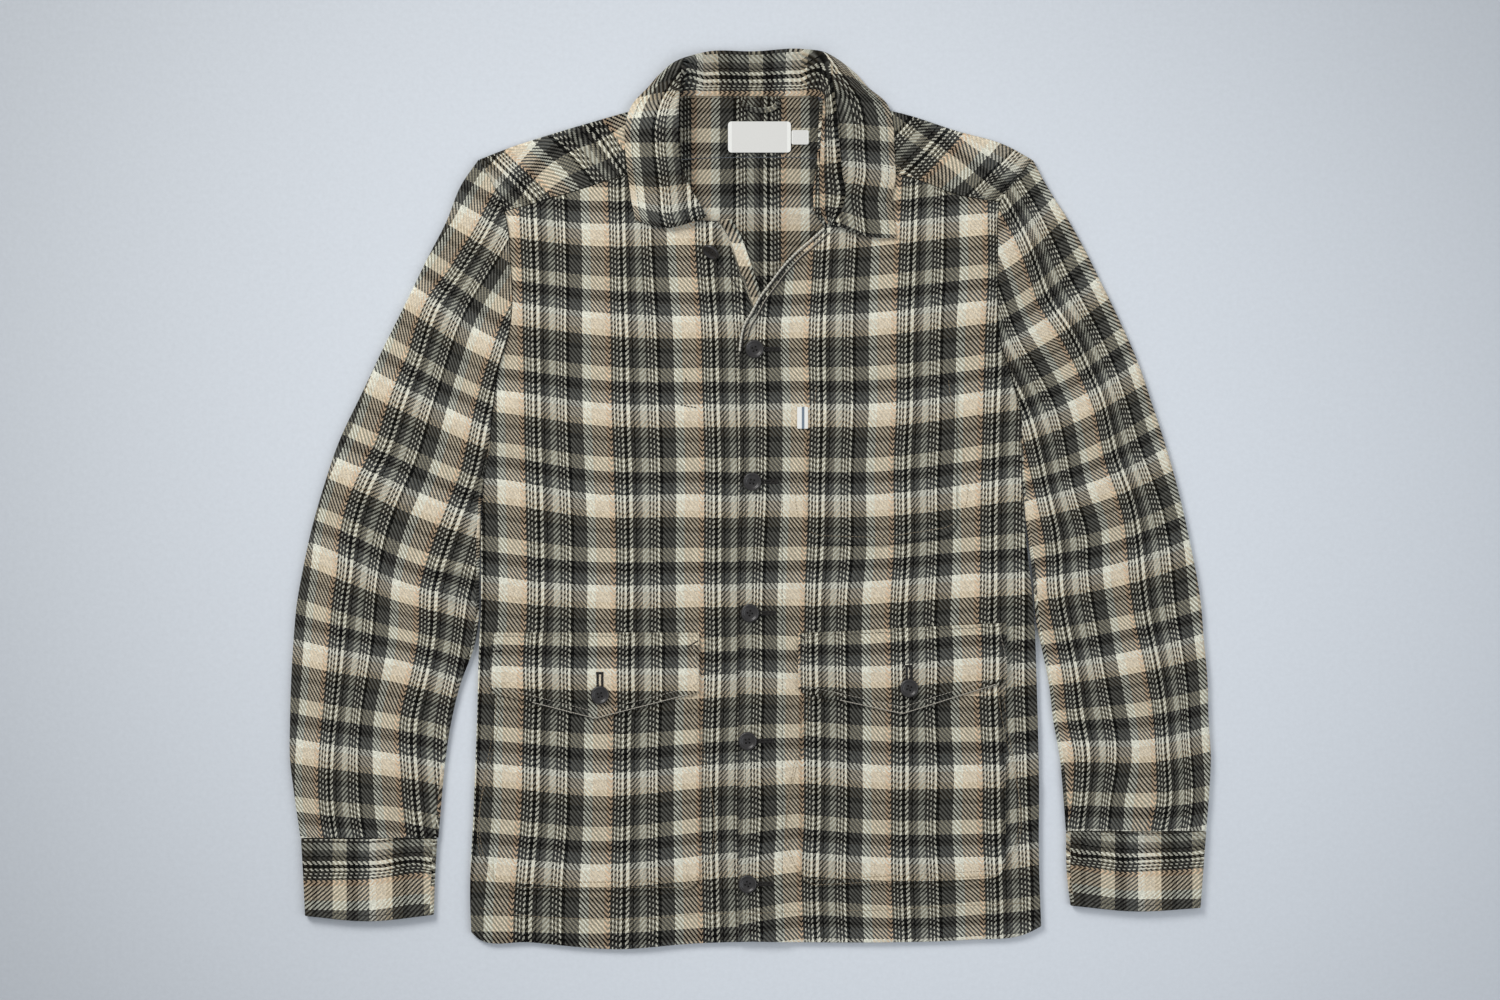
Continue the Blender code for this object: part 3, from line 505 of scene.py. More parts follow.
# How deep the creases are against their tables, the deepest dent, and the cloth's slight unevenness
CREASE_DEPTH = 1.6
DEEPEST_SINK = 2.2
UNEVEN = 0.7
FINE_UNEVEN = 0.16
UNEVEN_LEVEL = 0.6
SWAY = 0.7

def smoothstep(start, end, value):
    share = np.clip((value - start) / (end - start), 0, 1)
    return share * share * (3 - 2 * share)


def spline(points, positions):
    """The smooth curve through the points, at positions counted in points from the first."""
    points = np.asarray(points, float)
    positions = np.atleast_1d(np.asarray(positions, float))
    index = np.clip(positions.astype(int), 0, len(points) - 2)
    t = (positions - index)[:, None]
    padded = np.vstack([2 * points[:1] - points[1:2], points, 2 * points[-1:] - points[-2:-1]])
    before, start, end, after = (padded[index + step] for step in range(4))
    first, span, last = (np.maximum(np.linalg.norm(b - a, axis=1, keepdims=True), TINY)
                         for a, b in ((before, start), (start, end), (end, after)))
    leaving = ((start - before) / first * span + (end - start) / span * first) / (first + span) * span
    arriving = ((end - start) / span * last + (after - end) / last * span) / (span + last) * span
    return (start * (2 * t ** 3 - 3 * t ** 2 + 1) + leaving * (t ** 3 - 2 * t ** 2 + t)
            + end * (3 * t ** 2 - 2 * t ** 3) + arriving * (t ** 3 - t ** 2))


def chord_lengths(points):
    return np.concatenate([[0], np.cumsum(np.linalg.norm(np.diff(points, axis=0), axis=1))])


def along(points, shares):
    """The smooth curve through the points, at shares of its length from the first."""
    points = np.asarray(points, float)
    lengths = chord_lengths(points)
    targets = np.atleast_1d(shares) * lengths[-1]
    index = np.clip(np.searchsorted(lengths, targets, side="right") - 1, 0, len(points) - 2)
    return spline(points, index + (targets - lengths[index]) / (lengths[index + 1] - lengths[index]))


def sampled(points, intervals):
    return along(points, np.linspace(0, 1, intervals + 1))


def joined(*curves):
    """Sampled curves end to end, each meeting point once."""
    return np.vstack([curves[0], *(curve[1:] for curve in curves[1:])])


def patch(bottom, top, left, right, columns):
    """A grid filled in between four sampled edges, as rows from the bottom up."""
    up = (np.linspace(0, 1, len(left)) ** TOP_REACH)[:, None, None]
    across = np.asarray(columns)[None, :, None]
    corners = ((bottom[0] * (1 - across) + bottom[-1] * across) * (1 - up)
               + (top[0] * (1 - across) + top[-1] * across) * up)
    return (left[:, None] * (1 - across) + right[:, None] * across
            + bottom[None] * (1 - up) + top[None] * up - corners)


def fold_height(folds, x, y):
    """How far the folds lift or sink the cloth at a place."""
    total = np.zeros(np.shape(x))
    for fold in folds:
        run_x, run_y = fold.x1 - fold.x0, fold.y1 - fold.y0
        share = ((x - fold.x0) * run_x + (y - fold.y0) * run_y) / (run_x ** 2 + run_y ** 2)
        share = np.clip(share, 0, 1)
        distance = np.hypot(x - fold.x0 - run_x * share, y - fold.y0 - run_y * share)
        total = total + fold.height * (1 + np.cos(np.pi * np.minimum(1, distance / fold.width))) / 2
    return total


def waves(seed, shortest, longest, count=9):
    """Plane waves at random directions and lengths, as (x rate, y rate, phase)."""
    chance = np.random.default_rng(seed)
    table = []
    for _ in range(count):
        rate = 2 * math.pi / chance.uniform(shortest, longest)
        angle = chance.uniform(0, 2 * math.pi)
        table.append((rate * math.cos(angle), rate * math.sin(angle), chance.uniform(0, 2 * math.pi)))
    return table


BROAD_WAVES = waves(seed=3, shortest=45, longest=120)
SMALL_WAVES = waves(seed=8, shortest=14, longest=34)
WOBBLE = waves(seed=21, shortest=60, longest=150)


def wave_height(table, x, y):
    return sum(np.sin(x * a + y * b + c) for a, b, c in table) / len(table)


def unevenness(x, y):
    """The cloth's slight unevenness."""
    broad, small = (wave_height(table, x, y) for table in (BROAD_WAVES, SMALL_WAVES))
    return UNEVEN * (UNEVEN_LEVEL + broad) + FINE_UNEVEN * small


def front_height(x, y):
    """The middle of a front's thickness."""
    creases = CREASE_DEPTH * fold_height(FRONT_CREASES, x, y)
    return FRONT_LEVEL + fold_height(FRONT_FOLDS, x, y) + creases + np.maximum(0, unevenness(x, y))


def distance_to(path, x, y):
    """How far places are from a curve through points."""
    nearest = np.full(np.shape(x), np.inf)
    for point in sampled(path, 240):
        nearest = np.minimum(nearest, np.hypot(x - point[0], y - point[1]))
    return nearest


def lapped_height(x, y):
    """The wearer's left front: it rises over the underlap and rolls along its neck edge."""
    x, y = np.asarray(x, float), np.asarray(y, float)
    lap = LAYER * (1 - smoothstep(*LAP_RAMP, x))
    to_edge = distance_to(LEFT_FRONT_EDGE, x, y)
    roll = ROLL_HEIGHT * (1 - smoothstep(0, ROLL_WIDTH, to_edge)) * (1 - smoothstep(*ROLL_TOP, y))
    return front_height(x, y) + lap + roll


def surface_through(ties):
    """A smooth function of a place (x, y) that takes each tie's value at the tie's places."""
    places = np.array([place for group in ties.values() for place in group], float)
    values = [value for value, group in ties.items() for _ in group]
    count = len(values)

    def kernel(spots):
        squared = ((spots[:, None] - places[None]) ** 2).sum(-1)
        return squared * np.log(np.maximum(squared, TINY ** 2))

    plane = np.c_[np.ones(count), places]
    system = np.block([[kernel(places), plane], [plane.T, np.zeros((3, 3))]])
    weights = np.linalg.lstsq(system, np.r_[values, 0, 0, 0], rcond=None)[0]

    def at(x, y):
        spots = np.c_[np.ravel(x), np.ravel(y)]
        found = kernel(spots) @ weights[:count] + np.c_[np.ones(len(spots)), spots] @ weights[count:]
        return found.reshape(np.shape(x))

    return at


def check_at(warp_ties, weft_ties):
    """The check's place on a piece: how many repeats across its warp and along its weft."""
    warp, weft = surface_through(warp_ties), surface_through(weft_ties)

    def at(x, y):
        across = warp(x, y) + SWAY * wave_height(WOBBLE, x, y) / WARP_REPEAT
        down = weft(x, y) + SWAY * wave_height(WOBBLE, y, -x) / WEFT_REPEAT
        return np.stack([across, down], axis=-1)

    return at


class Value:
    """An output of a shader's nodes, which sums, differences, products and quotients are written with."""

    def __init__(self, shader, socket):
        self.shader = shader
        self.socket = socket

    def __add__(self, other):
        return self.shader.math("ADD", self, other)

    def __sub__(self, other):
        return self.shader.math("SUBTRACT", self, other)

    def __rsub__(self, other):
        return self.shader.math("SUBTRACT", other, self)

    def __mul__(self, other):
        return self.shader.math("MULTIPLY", self, other)

    def __truediv__(self, other):
        return self.shader.math("DIVIDE", self, other)

    __radd__ = __add__
    __rmul__ = __mul__


class Shader:
    """Builds a material's nodes: their inputs can be numbers, colours or values of other nodes."""

    def __init__(self, name, roughness, sheen=0.0, specular=0.3):
        self.material = bpy.data.materials.new(name)
        self.material.use_nodes = True
        self.tree = self.material.node_tree
        self.surface = self.tree.nodes["Principled BSDF"].inputs
        self.surface["Roughness"].default_value = roughness
        self.surface["Sheen Weight"].default_value = sheen
        self.surface["Sheen Roughness"].default_value = SHEEN_ROUGHNESS
        self.surface["Specular IOR Level"].default_value = specular

    def put(self, socket, value):
        if isinstance(value, Value):
            self.tree.links.new(value.socket, socket)
        else:
            socket.default_value = value

    def new(self, kind):
        return self.tree.nodes.new("ShaderNode" + kind)

    def filled(self, node, inputs, output=0):
        """A node's output, once its inputs are filled in."""
        for socket, value in inputs.items():
            self.put(node.inputs[socket], value)
        return Value(self, node.outputs[output])

    def node(self, kind, inputs, output=0):
        return self.filled(self.new(kind), inputs, output)

    def math(self, operation, *values):
        node = self.new("Math")
        node.operation = operation
        return self.filled(node, dict(enumerate(values)))

    def mix(self, factor, first, second, blend="MIX"):
        """Two colours mixed: a mix node takes colours at its inputs 6 and 7 and gives one at its output 2."""
        node = self.new("Mix")
        node.data_type = "RGBA"
        node.blend_type = blend
        return self.filled(node, {0: factor, 6: first, 7: second}, 2)

    def lit(self, colour, light):
        return self.mix(1.0, colour, self.vector(light, light, light), "MULTIPLY")

    def noise(self, vector, scale, detail=2.0, roughness=0.5):
        inputs = {"Vector": vector, "Scale": scale, "Detail": detail, "Roughness": roughness}
        return self.node("TexNoise", inputs)

    def chance(self, value):
        """A random number for each whole value."""
        node = self.new("TexWhiteNoise")
        node.noise_dimensions = "1D"
        return self.filled(node, {"W": value})

    def sett(self, position, stripes, units):
        """The colour at a position in the repeat, from where each stripe starts."""
        node = self.new("ValToRGB")
        ramp = node.color_ramp
        ramp.interpolation = "CONSTANT"
        for index, (start, colour) in enumerate(stripes):
            stop = ramp.elements[index] if index < 2 else ramp.elements.new(start / units)
            stop.position = start / units
            stop.color = (*colour, 1)
        return self.filled(node, {0: position})

    def twill(self, warp, weft):
        """The place in the twill's step, from 0 to 1: the warp lies on top in its first half."""
        turned = self.math("PINGPONG", warp - HERRINGBONE_START, HERRINGBONE)
        return self.math("FRACT", (turned + weft) / TWILL)

    def vector(self, x, y, z=0.0):
        return self.node("CombineXYZ", {0: x, 1: y, 2: z})

    def split(self, vector):
        node = self.new("SeparateXYZ")
        return [self.filled(node, {0: vector}, output) for output in range(3)]

    def object_place(self):
        return self.node("TexCoord", {}, "Object")

    def cloth_place(self):
        """The check's place: repeats across the warp and along the weft."""
        node = self.new("UVMap")
        node.uv_map = "cloth"
        return self.split(self.filled(node, {}))[:2]

    def finish(self, colour, relief=None, strength=0.0, depth=0.0):
        self.put(self.surface["Base Color"], colour)
        if relief:
            bump = self.node("Bump", {"Strength": strength, "Distance": depth, "Height": relief})
            self.put(self.surface["Normal"], bump)
        return self.material


def plaid_material():
    """A twill of coloured threads: each shows most where it lies on top.

    The nap mixes the two colours at a place as their weighted geometric mean.
    """
    shader = Shader("plaid_wool", PLAID_ROUGHNESS, PLAID_SHEEN, PLAID_SPECULAR)
    places = shader.cloth_place()
    counted, threads, tops, colours = [], [], [], []
    for place, yarns in zip(places, (WARP, WEFT)):
        position = place * yarns.threads
        thread = shader.math("FLOOR", position)
        offset = (position - thread) * 2 - 1
        share = shader.math("FRACT", (thread + 0.5) / yarns.threads)
        counted.append(position)
        threads.append(thread)
        tops.append(1 - offset * offset)
        colours.append(shader.sett(share, yarns.sett, yarns.units))
    warp_up = shader.math("LESS_THAN", shader.twill(threads[0], threads[1] + 0.5), 0.5)
    warp_share = warp_up * (2 * ON_TOP - 1) + (1 - ON_TOP)
    shares = warp_share, 1 - warp_share
    powers = [shader.node("Gamma", {0: colour, 1: share}) for colour, share in zip(colours, shares)]
    yarn = shader.mix(1.0, *powers, "MULTIPLY")
    first, second = (shader.node("RGBToBW", {0: colour}) for colour in colours)
    total = first + second
    likeness = shader.math("SQRT", first * second) * 2 / total
    dark = shader.math("MAXIMUM", 0.0, 1 - total * DARKNESS_RATE)
    ridge = likeness * likeness * dark * RIDGE_IN_DARK + RIDGE_IN_LIGHT
    wale = shader.math("COSINE", (shader.twill(*counted) - 0.25) * (2 * math.pi))
    top = (1 - warp_up) * tops[1] + warp_up * tops[0]
    luck = shader.chance(threads[0] * LUCK_STEP + threads[1])
    stretched = shader.vector(*(place * GRAINS_IN_REPEAT for place in places))
    fibre = shader.noise(stretched, FIBRE_SCALE, 3.0, 0.6)
    cloud = shader.noise(stretched, CLOUD_SCALE, 3.0, 0.5)
    light = (THREAD_LIGHT + top * CROWN_LIGHT + luck * LUCK_LIGHT
             + (fibre - 0.5) * FIBRE_LIGHT + (cloud - 0.5) * CLOUD_LIGHT)
    light = light * (1 + ridge * wale) * (UNLIKE_LIGHT + likeness * (1 - UNLIKE_LIGHT))
    # Painted shade: the inside attribute darkens the inner face and paints the shade in the neck and under
    # the collar
    attribute = shader.new("Attribute")
    attribute.attribute_name = "inside"
    inside = shader.filled(attribute, {}, "Fac")
    light = light * (1 - inside * (1 - INNER_FACE_AND_PAINTED_SHADE))
    return shader.finish(shader.lit(yarn, light), top + fibre * FIBRE_HEIGHT, PLAID_BUMP, PLAID_BUMP_DEPTH)


def plain_material(name, colour, roughness):
    """A single colour with a fine grain."""
    shader = Shader(name, roughness)
    grains = shader.noise(shader.object_place(), GRAIN_SCALE, 3.0, 0.6)
    darker = tuple(channel * (1 - GRAIN_VARIATION) for channel in colour)
    lighter = tuple(channel * (1 + GRAIN_VARIATION) for channel in colour)
    return shader.finish(shader.mix(grains, (*darker, 1), (*lighter, 1)), grains, 0.4, GRAIN_DEPTH)


def tab_material(name, stripe, start, end):
    """Off-white woven tape with a stripe along its middle."""
    shader = Shader(name, TAPE_ROUGHNESS)
    across = shader.cloth_place()[0]
    inside = shader.math("GREATER_THAN", across, start) * shader.math("LESS_THAN", across, end)
    ribs = shader.noise(shader.object_place(), RIB_SCALE)
    return shader.finish(shader.mix(inside, (*TAPE, 1), (*stripe, 1)), ribs, 0.3, FINE_DEPTH)


def horn_material():
    shader = Shader("dark_horn", HORN_ROUGHNESS, specular=0.5)
    place = shader.object_place()
    cloud = shader.noise(place, HORN_CLOUD_SCALE, 4.0, 0.6)
    colour = shader.mix(cloud, (*HORN_DARK, 1), (*HORN_LIGHT, 1))
    return shader.finish(colour, shader.noise(place, GRAIN_SCALE), 0.15, FINE_DEPTH)


def floor_material():
    """Pale paper with a painted pool of light: it darkens slowly away from the middle, and a painted slope of
    light runs across it.
    """
    shader = Shader("floor_paper", FLOOR_ROUGHNESS, specular=0.05)
    place = shader.object_place()
    measure = shader.new("VectorMath")
    measure.operation = "LENGTH"
    distance = shader.filled(measure, {0: place}, "Value")
    away = shader.math("SMOOTH_MIN", distance / FLOOR_REACH, FLOOR_DARKEST, FLOOR_ROUNDING)
    light_pool = shader.mix(away * away, (*FLOOR_LIT_MIDDLE, 1), (*FLOOR_SHADED_FAR, 1))
    x, y, _ = shader.split(place)
    speckle = shader.noise(place, SPECKLE_SCALE, 2.0, 0.7)
    # A painted slope of light across the floor, with the paper's own speckle
    shade = (FLOOR_LIGHT + (x - y) * FLOOR_LIGHT_SLOPE) + speckle * SPECKLE_LIGHT
    return shader.finish(shader.lit(light_pool, shade))


def to_row(points):
    """Points in millimetres of the picture's frame, in metres of the row frame."""
    return (np.asarray(points, float) + SHIFT) * MM


def placed(name, data):
    """A new object in the scene."""
    obj = bpy.data.objects.new(name, data)
    bpy.context.scene.collection.objects.link(obj)
    return obj


def publish(obj, node):
    """The piece rides on the coat and stands for its node."""
    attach(obj, "root")
    if node:
        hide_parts(node)


def applied(obj):
    """Puts the object's modifiers into its mesh."""
    graph = bpy.context.evaluated_depsgraph_get()
    mesh = bpy.data.meshes.new_from_object(obj.evaluated_get(graph))
    obj.modifiers.clear()
    obj.data = mesh
    mesh.shade_smooth()
    return obj


FINE_PIECES = []
EDGE_SOFTNESS = 0.36
SHARP_ANGLE = math.radians(50)


def cloth(name, grid, check, material, check_after=None, thickness=CLOTH, around=False,
          inside=None):
    """A fine closed sheet from a grid of middle points with the check's place at each, or its function.

    check_after is the check's place as seen from the face before a point, where that differs. around
    joins the last column to the first.
    inside is how much of the cloth's unbrushed inner face shows at each point, from 0 to 1: the cloth is
    darkened there, for that duller face and as painted shade in the neck and under the collar.
    """
    if callable(check):
        check = check(grid[..., 0], grid[..., 1])
    rows, columns = grid.shape[:2]
    kept = ~np.isnan(grid[..., 2])
    number = np.full((rows, columns), -1)
    number[kept] = np.arange(kept.sum())
    following = (np.arange(columns) + 1) % columns
    last = columns if around else columns - 1
    low_left, low_right = number[:-1, :last], number[:-1][:, following[:last]]
    up_left, up_right = number[1:, :last], number[1:][:, following[:last]]
    faces = np.stack([low_left, low_right, up_right, up_left], axis=-1).reshape(-1, 4)
    near = check[:, :last]
    far = (check if check_after is None else check_after)[:, following[:last]]
    corners = np.stack([near[:-1], far[:-1], far[1:], near[1:]], axis=2).reshape(-1, 4, 2)
    whole = (faces >= 0).all(axis=1)
    faces, corners = faces[whole], corners[whole]
    mesh = bpy.data.meshes.new(name + "_cloth")
    mesh.from_pydata(to_row(grid[kept]).tolist(), [], faces.tolist())
    layer = mesh.uv_layers.new(name="cloth")
    layer.data.foreach_set("uv", corners.reshape(-1))
    if inside is not None:
        shown = np.broadcast_to(inside, grid.shape[:2])[kept]
        mesh.attributes.new("inside", "FLOAT", "POINT").data.foreach_set("value", shown.astype(np.float32))
    obj = placed(name + "_cloth", mesh)
    wall = obj.modifiers.new("Cloth thickness", "SOLIDIFY")
    wall.thickness = thickness * MM
    wall.offset = 0
    edge = obj.modifiers.new("Soft edge", "BEVEL")
    edge.width = EDGE_SOFTNESS * thickness * MM
    edge.segments = 2
    edge.limit_method = "ANGLE"
    edge.angle_limit = SHARP_ANGLE
    applied(obj)
    obj.data.materials.clear()
    obj.data.materials.append(material)
    publish(obj, name)
    FINE_PIECES.append(obj)
    return obj


def lifted(grid, height):
    """A flat grid with the height of a height function or of a level."""
    level = height(grid[..., 0], grid[..., 1]) if callable(height) else np.full(grid.shape[:2], height)
    return np.dstack([grid, level])


# The folded band along the under front's neck edge
NECK_BAND_WIDTH = 11
NECK_BAND_TOP = 222
NECK_BAND_WARP = 0.05


def with_neck_band(x, y, place):
    """The check with the under front's folded band along its neck edge."""
    to_edge = distance_to(RIGHT_FRONT_EDGE, x, y)
    band = np.stack([NECK_BAND_WARP + to_edge / WARP_REPEAT, (NECK_BAND_TOP - y) / WEFT_REPEAT], axis=-1)
    inside = (to_edge < NECK_BAND_WIDTH) & (y > RIGHT_FRONT_EDGE[0][1])
    return np.where(inside[..., None], band, place)


def build_fronts(plaid):
    rows_side, rows_armhole = 15 * FRONT_FINE, 7 * FRONT_FINE
    rows_centre, rows_edge, rows_neck = 14 * FRONT_FINE, 5 * FRONT_FINE, 3 * FRONT_FINE
    coarse = len(FRONT_COLUMNS) - 1
    positions = np.linspace(0, coarse, coarse * FRONT_COLUMNS_FINE + 1)
    columns = np.interp(positions, range(coarse + 1), FRONT_COLUMNS)
    for name, half, edge, neckline, height, ties in (
        ("front_right", RIGHT, RIGHT_FRONT_EDGE, RIGHT_NECKLINE, front_height,
         (FRONT_RIGHT_WARP, FRONT_RIGHT_WEFT)),
        ("front_left", LEFT, LEFT_FRONT_EDGE, LEFT_NECKLINE[::-1], lapped_height,
         (FRONT_LEFT_WARP, FRONT_LEFT_WEFT)),
    ):
        top_end = half.yoke_seam[0]
        armhole = [point for point in half.armhole if point[1] < top_end[1] - 1]
        side = joined(sampled(half.side_edge[::-1], rows_side),
                      sampled([*armhole[::-1], top_end], rows_armhole))
        hem_to_edge = sampled([(edge[0][0], HEM_CENTRE_Y), edge[0]], rows_centre)
        centre = joined(hem_to_edge, sampled(edge, rows_edge), sampled(neckline, rows_neck)[::-1])
        top = along(half.yoke_seam, columns) - (0, SEAM / 2)
        side[-1], centre[-1] = top[0], top[-1]
        hem = along(half.hem, columns)
        side[0], centre[0] = hem[0], hem[-1]
        flat = patch(hem, top, side, centre, columns)
        place = check_at(*ties)(flat[..., 0], flat[..., 1])
        if name == "front_right":
            place = with_neck_band(flat[..., 0], flat[..., 1], place)
        cloth(name, lifted(flat, height), place, plaid)


def build_back(plaid):
    columns, rows_side, rows_armhole = 12 * BACK_FINE, 9 * BACK_FINE, 8 * BACK_FINE
    edges = []
    for half, corner in ((RIGHT, BACK_YOKE_SEAM[0]), (LEFT, BACK_YOKE_SEAM[-1])):
        armhole = [point for point in half.armhole if point[1] < corner[1] - 4]
        edges.append(joined(sampled(half.side_edge[::-1], rows_side),
                            sampled([*armhole[::-1], corner], rows_armhole)))
    left, right = edges
    top = sampled(BACK_YOKE_SEAM, columns) - (0, SEAM / 2)
    left[-1], right[-1] = top[0], top[-1]
    hem = joined(sampled(RIGHT.hem, columns // 2), sampled([RIGHT.hem[-1], *LEFT.hem[-2::-1]], columns // 2))
    left[0], right[0] = hem[0], hem[-1]
    flat = patch(hem, top, left, right, np.linspace(0, 1, columns + 1))
    # The back panel's inner face shows in the neck: darkened as that face and as painted shade under the
    # collar
    cloth("back_panel", lifted(flat, BACK_LEVEL), check_at(BACK_WARP, BACK_WEFT), plaid, inside=1.0)


BACK_ROWS, BEND_ROWS, STRAP_ROWS = 16, 8, 32
NECK_UNDER_COLLAR = 3.5


def shoulder_column(back, shoulder, outward, front):
    """One line of the yoke from its back seam, over the shoulder's edge, to its front seam."""
    centre = shoulder - outward * (SHOULDER_BEND + CLOTH / 2)
    share = np.linspace(0, 1, BACK_ROWS + 1)[:, None]
    line = [np.c_[back * (1 - share) + centre * share, np.full(BACK_ROWS + 1, BACK_LEVEL)]]
    angle = math.pi * (np.arange(1, BEND_ROWS) / BEND_ROWS - 0.5)
    place = centre + outward * SHOULDER_BEND * np.cos(angle)[:, None]
    line.append(np.c_[place, BACK_LEVEL + SHOULDER_BEND * (1 + np.sin(angle))])
    share = np.linspace(0, 1, STRAP_ROWS + 1)[:, None]
    strap = centre * (1 - share) + front * share
    ease = np.sin(np.pi * share[:, 0]) ** 0.5
    rise = np.maximum(0, unevenness(strap[:, 0], strap[:, 1])) * ease
    line.append(np.c_[strap, FRONT_LEVEL + rise])
    return np.vstack(line)


def build_yoke(plaid):
    strap_columns, neck_columns = 8 * YOKE_FINE, 8 * YOKE_FINE
    seam = (0, SEAM / 2)
    total = 2 * strap_columns + neck_columns
    back = sampled(BACK_YOKE_SEAM, total) + seam
    straps = []
    for half, backs in ((RIGHT, back[:strap_columns + 1]), (LEFT, back[:-strap_columns - 2:-1])):
        shoulder = sampled(half.shoulder, strap_columns)
        fronts = sampled(half.yoke_seam, strap_columns) + seam
        strap = []
        for index in range(strap_columns + 1):
            run = shoulder[min(index + 1, strap_columns)] - shoulder[max(index - 1, 0)]
            outward = np.array((-run[1], run[0])) / np.linalg.norm(run)
            outward = outward if outward[1] > 0 else -outward
            strap.append(shoulder_column(backs[index], shoulder[index], outward, fronts[index]))
        straps.append(np.array(strap))
    right_strap, left_strap = straps
    rows = right_strap.shape[1]
    neck = np.full((neck_columns - 1, rows, 3), np.nan)
    for index in range(1, neck_columns):
        share = index / neck_columns
        edge = np.array((RIGHT.shoulder[-1][0] * (1 - share) + LEFT.shoulder[-1][0] * share,
                         BACK_NECK_Y + NECK_UNDER_COLLAR))
        step = np.linspace(0, 1, BACK_ROWS + 1)[:, None]
        line = back[strap_columns + index] * (1 - step) + edge * step
        neck[index - 1, :BACK_ROWS + 1] = np.c_[line, np.full(BACK_ROWS + 1, BACK_LEVEL)]
    grid = np.concatenate([right_strap, neck, left_strap[::-1]])
    inside, right, left = (check_at(warp, weft)(grid[..., 0], grid[..., 1]) for warp, weft in (
        (YOKE_BACK_WARP, YOKE_BACK_WEFT),
        (STRAP_RIGHT_WARP, STRAP_RIGHT_WEFT),
        (STRAP_LEFT_WARP, STRAP_LEFT_WEFT),
    ))
    outside = np.where(np.arange(len(grid))[:, None, None] < len(grid) / 2, right, left)
    turn = BACK_ROWS + BEND_ROWS // 2
    beyond = np.arange(rows)[None, :, None]
    check = np.where(beyond >= turn, outside, inside)
    check_after = np.where(beyond > turn, outside, inside)
    # The yoke's back part shows its inner face in the neck: darkened as that face and as painted shade under
    # the collar
    inner = (np.arange(rows) < turn)[None, :] * 1.0
    cloth("yoke", grid, check, plaid, check_after, inside=inner)


# Points along a tube's top, round each end and along its underside
RING_TOP_FINE, RING_END_FINE, RING_BOTTOM_FINE = 64, 8, 24
VISIBLE_CLEARANCE = 0.5


def ring(curve, height, crown, folds):
    """A flattened tube's cross-section over a row that runs from the inner to the outer edge."""
    length = chord_lengths(curve)[-1]
    bend = (height - CLOTH) / 2
    inset = height / 2 / length
    top = np.linspace(inset, 1 - inset, RING_TOP_FINE + 1)
    turn = np.pi * np.arange(1, RING_END_FINE) / RING_END_FINE
    bottom = np.linspace(1 - inset, inset, RING_BOTTOM_FINE + 1)
    share = np.concatenate([top, np.full(len(turn), 1 - inset), bottom, np.full(len(turn), inset)])
    place = along(curve, share)
    ends = np.array(curve)[[0, -1]]
    reach = bend * np.sin(turn)
    beyond = np.concatenate([np.zeros(len(top)), reach, np.zeros(len(bottom)), reach])
    end = np.where(share[:, None] < 0.5, ends[0], ends[1])
    direction = end - place
    direction /= np.maximum(np.linalg.norm(direction, axis=1, keepdims=True), TINY)
    place = place + direction * beyond[:, None]
    lift = crown * np.sin(np.pi * top)
    for table, depth in folds:
        lift = lift + depth * fold_height(table, place[:len(top), 0], place[:len(top), 1])
    lift = np.maximum(lift, -DEEPEST_SINK)
    lift = lift + unevenness(place[:len(top), 0], place[:len(top), 1]) * np.sin(np.pi * (top - inset)) ** 0.5
    cap = bend * np.cos(turn)
    rise = np.concatenate([bend + lift, cap, np.full(len(bottom), -bend), -cap])
    return np.c_[place, height / 2 + rise]


def sleeve_row(row, armhole):
    """A row across a sleeve: straight, or curved with a share of the armhole's shape."""
    outer_x, outer_y, inner_x, inner_y, armhole_share = row
    share = np.linspace(0, 1, 37)[:, None]
    seam = along(armhole, 1 - share[:, 0])
    ends = np.array(armhole, float)
    straight = ends[-1] * (1 - share) + ends[0] * share
    inner, outer = np.array((inner_x, inner_y)), np.array((outer_x, outer_y))
    return inner * (1 - share) + outer * share + (seam - straight) * armhole_share


def tube_check(grid, check):
    """The check round a flattened tube: its underside carries on from the outer edge."""
    flat = check(grid[..., 0], grid[..., 1])
    edge = RING_TOP_FINE + RING_END_FINE // 2
    outer = flat[:, edge:edge + 1]
    mirrored = flat.copy()
    mirrored[..., 0] = 2 * outer[..., 0] - flat[..., 0]
    column = np.arange(grid.shape[1])[None, :, None]
    around = np.where(column > edge, mirrored, flat)
    after = around.copy()
    after[:, 0] = mirrored[:, 0]
    return around, after


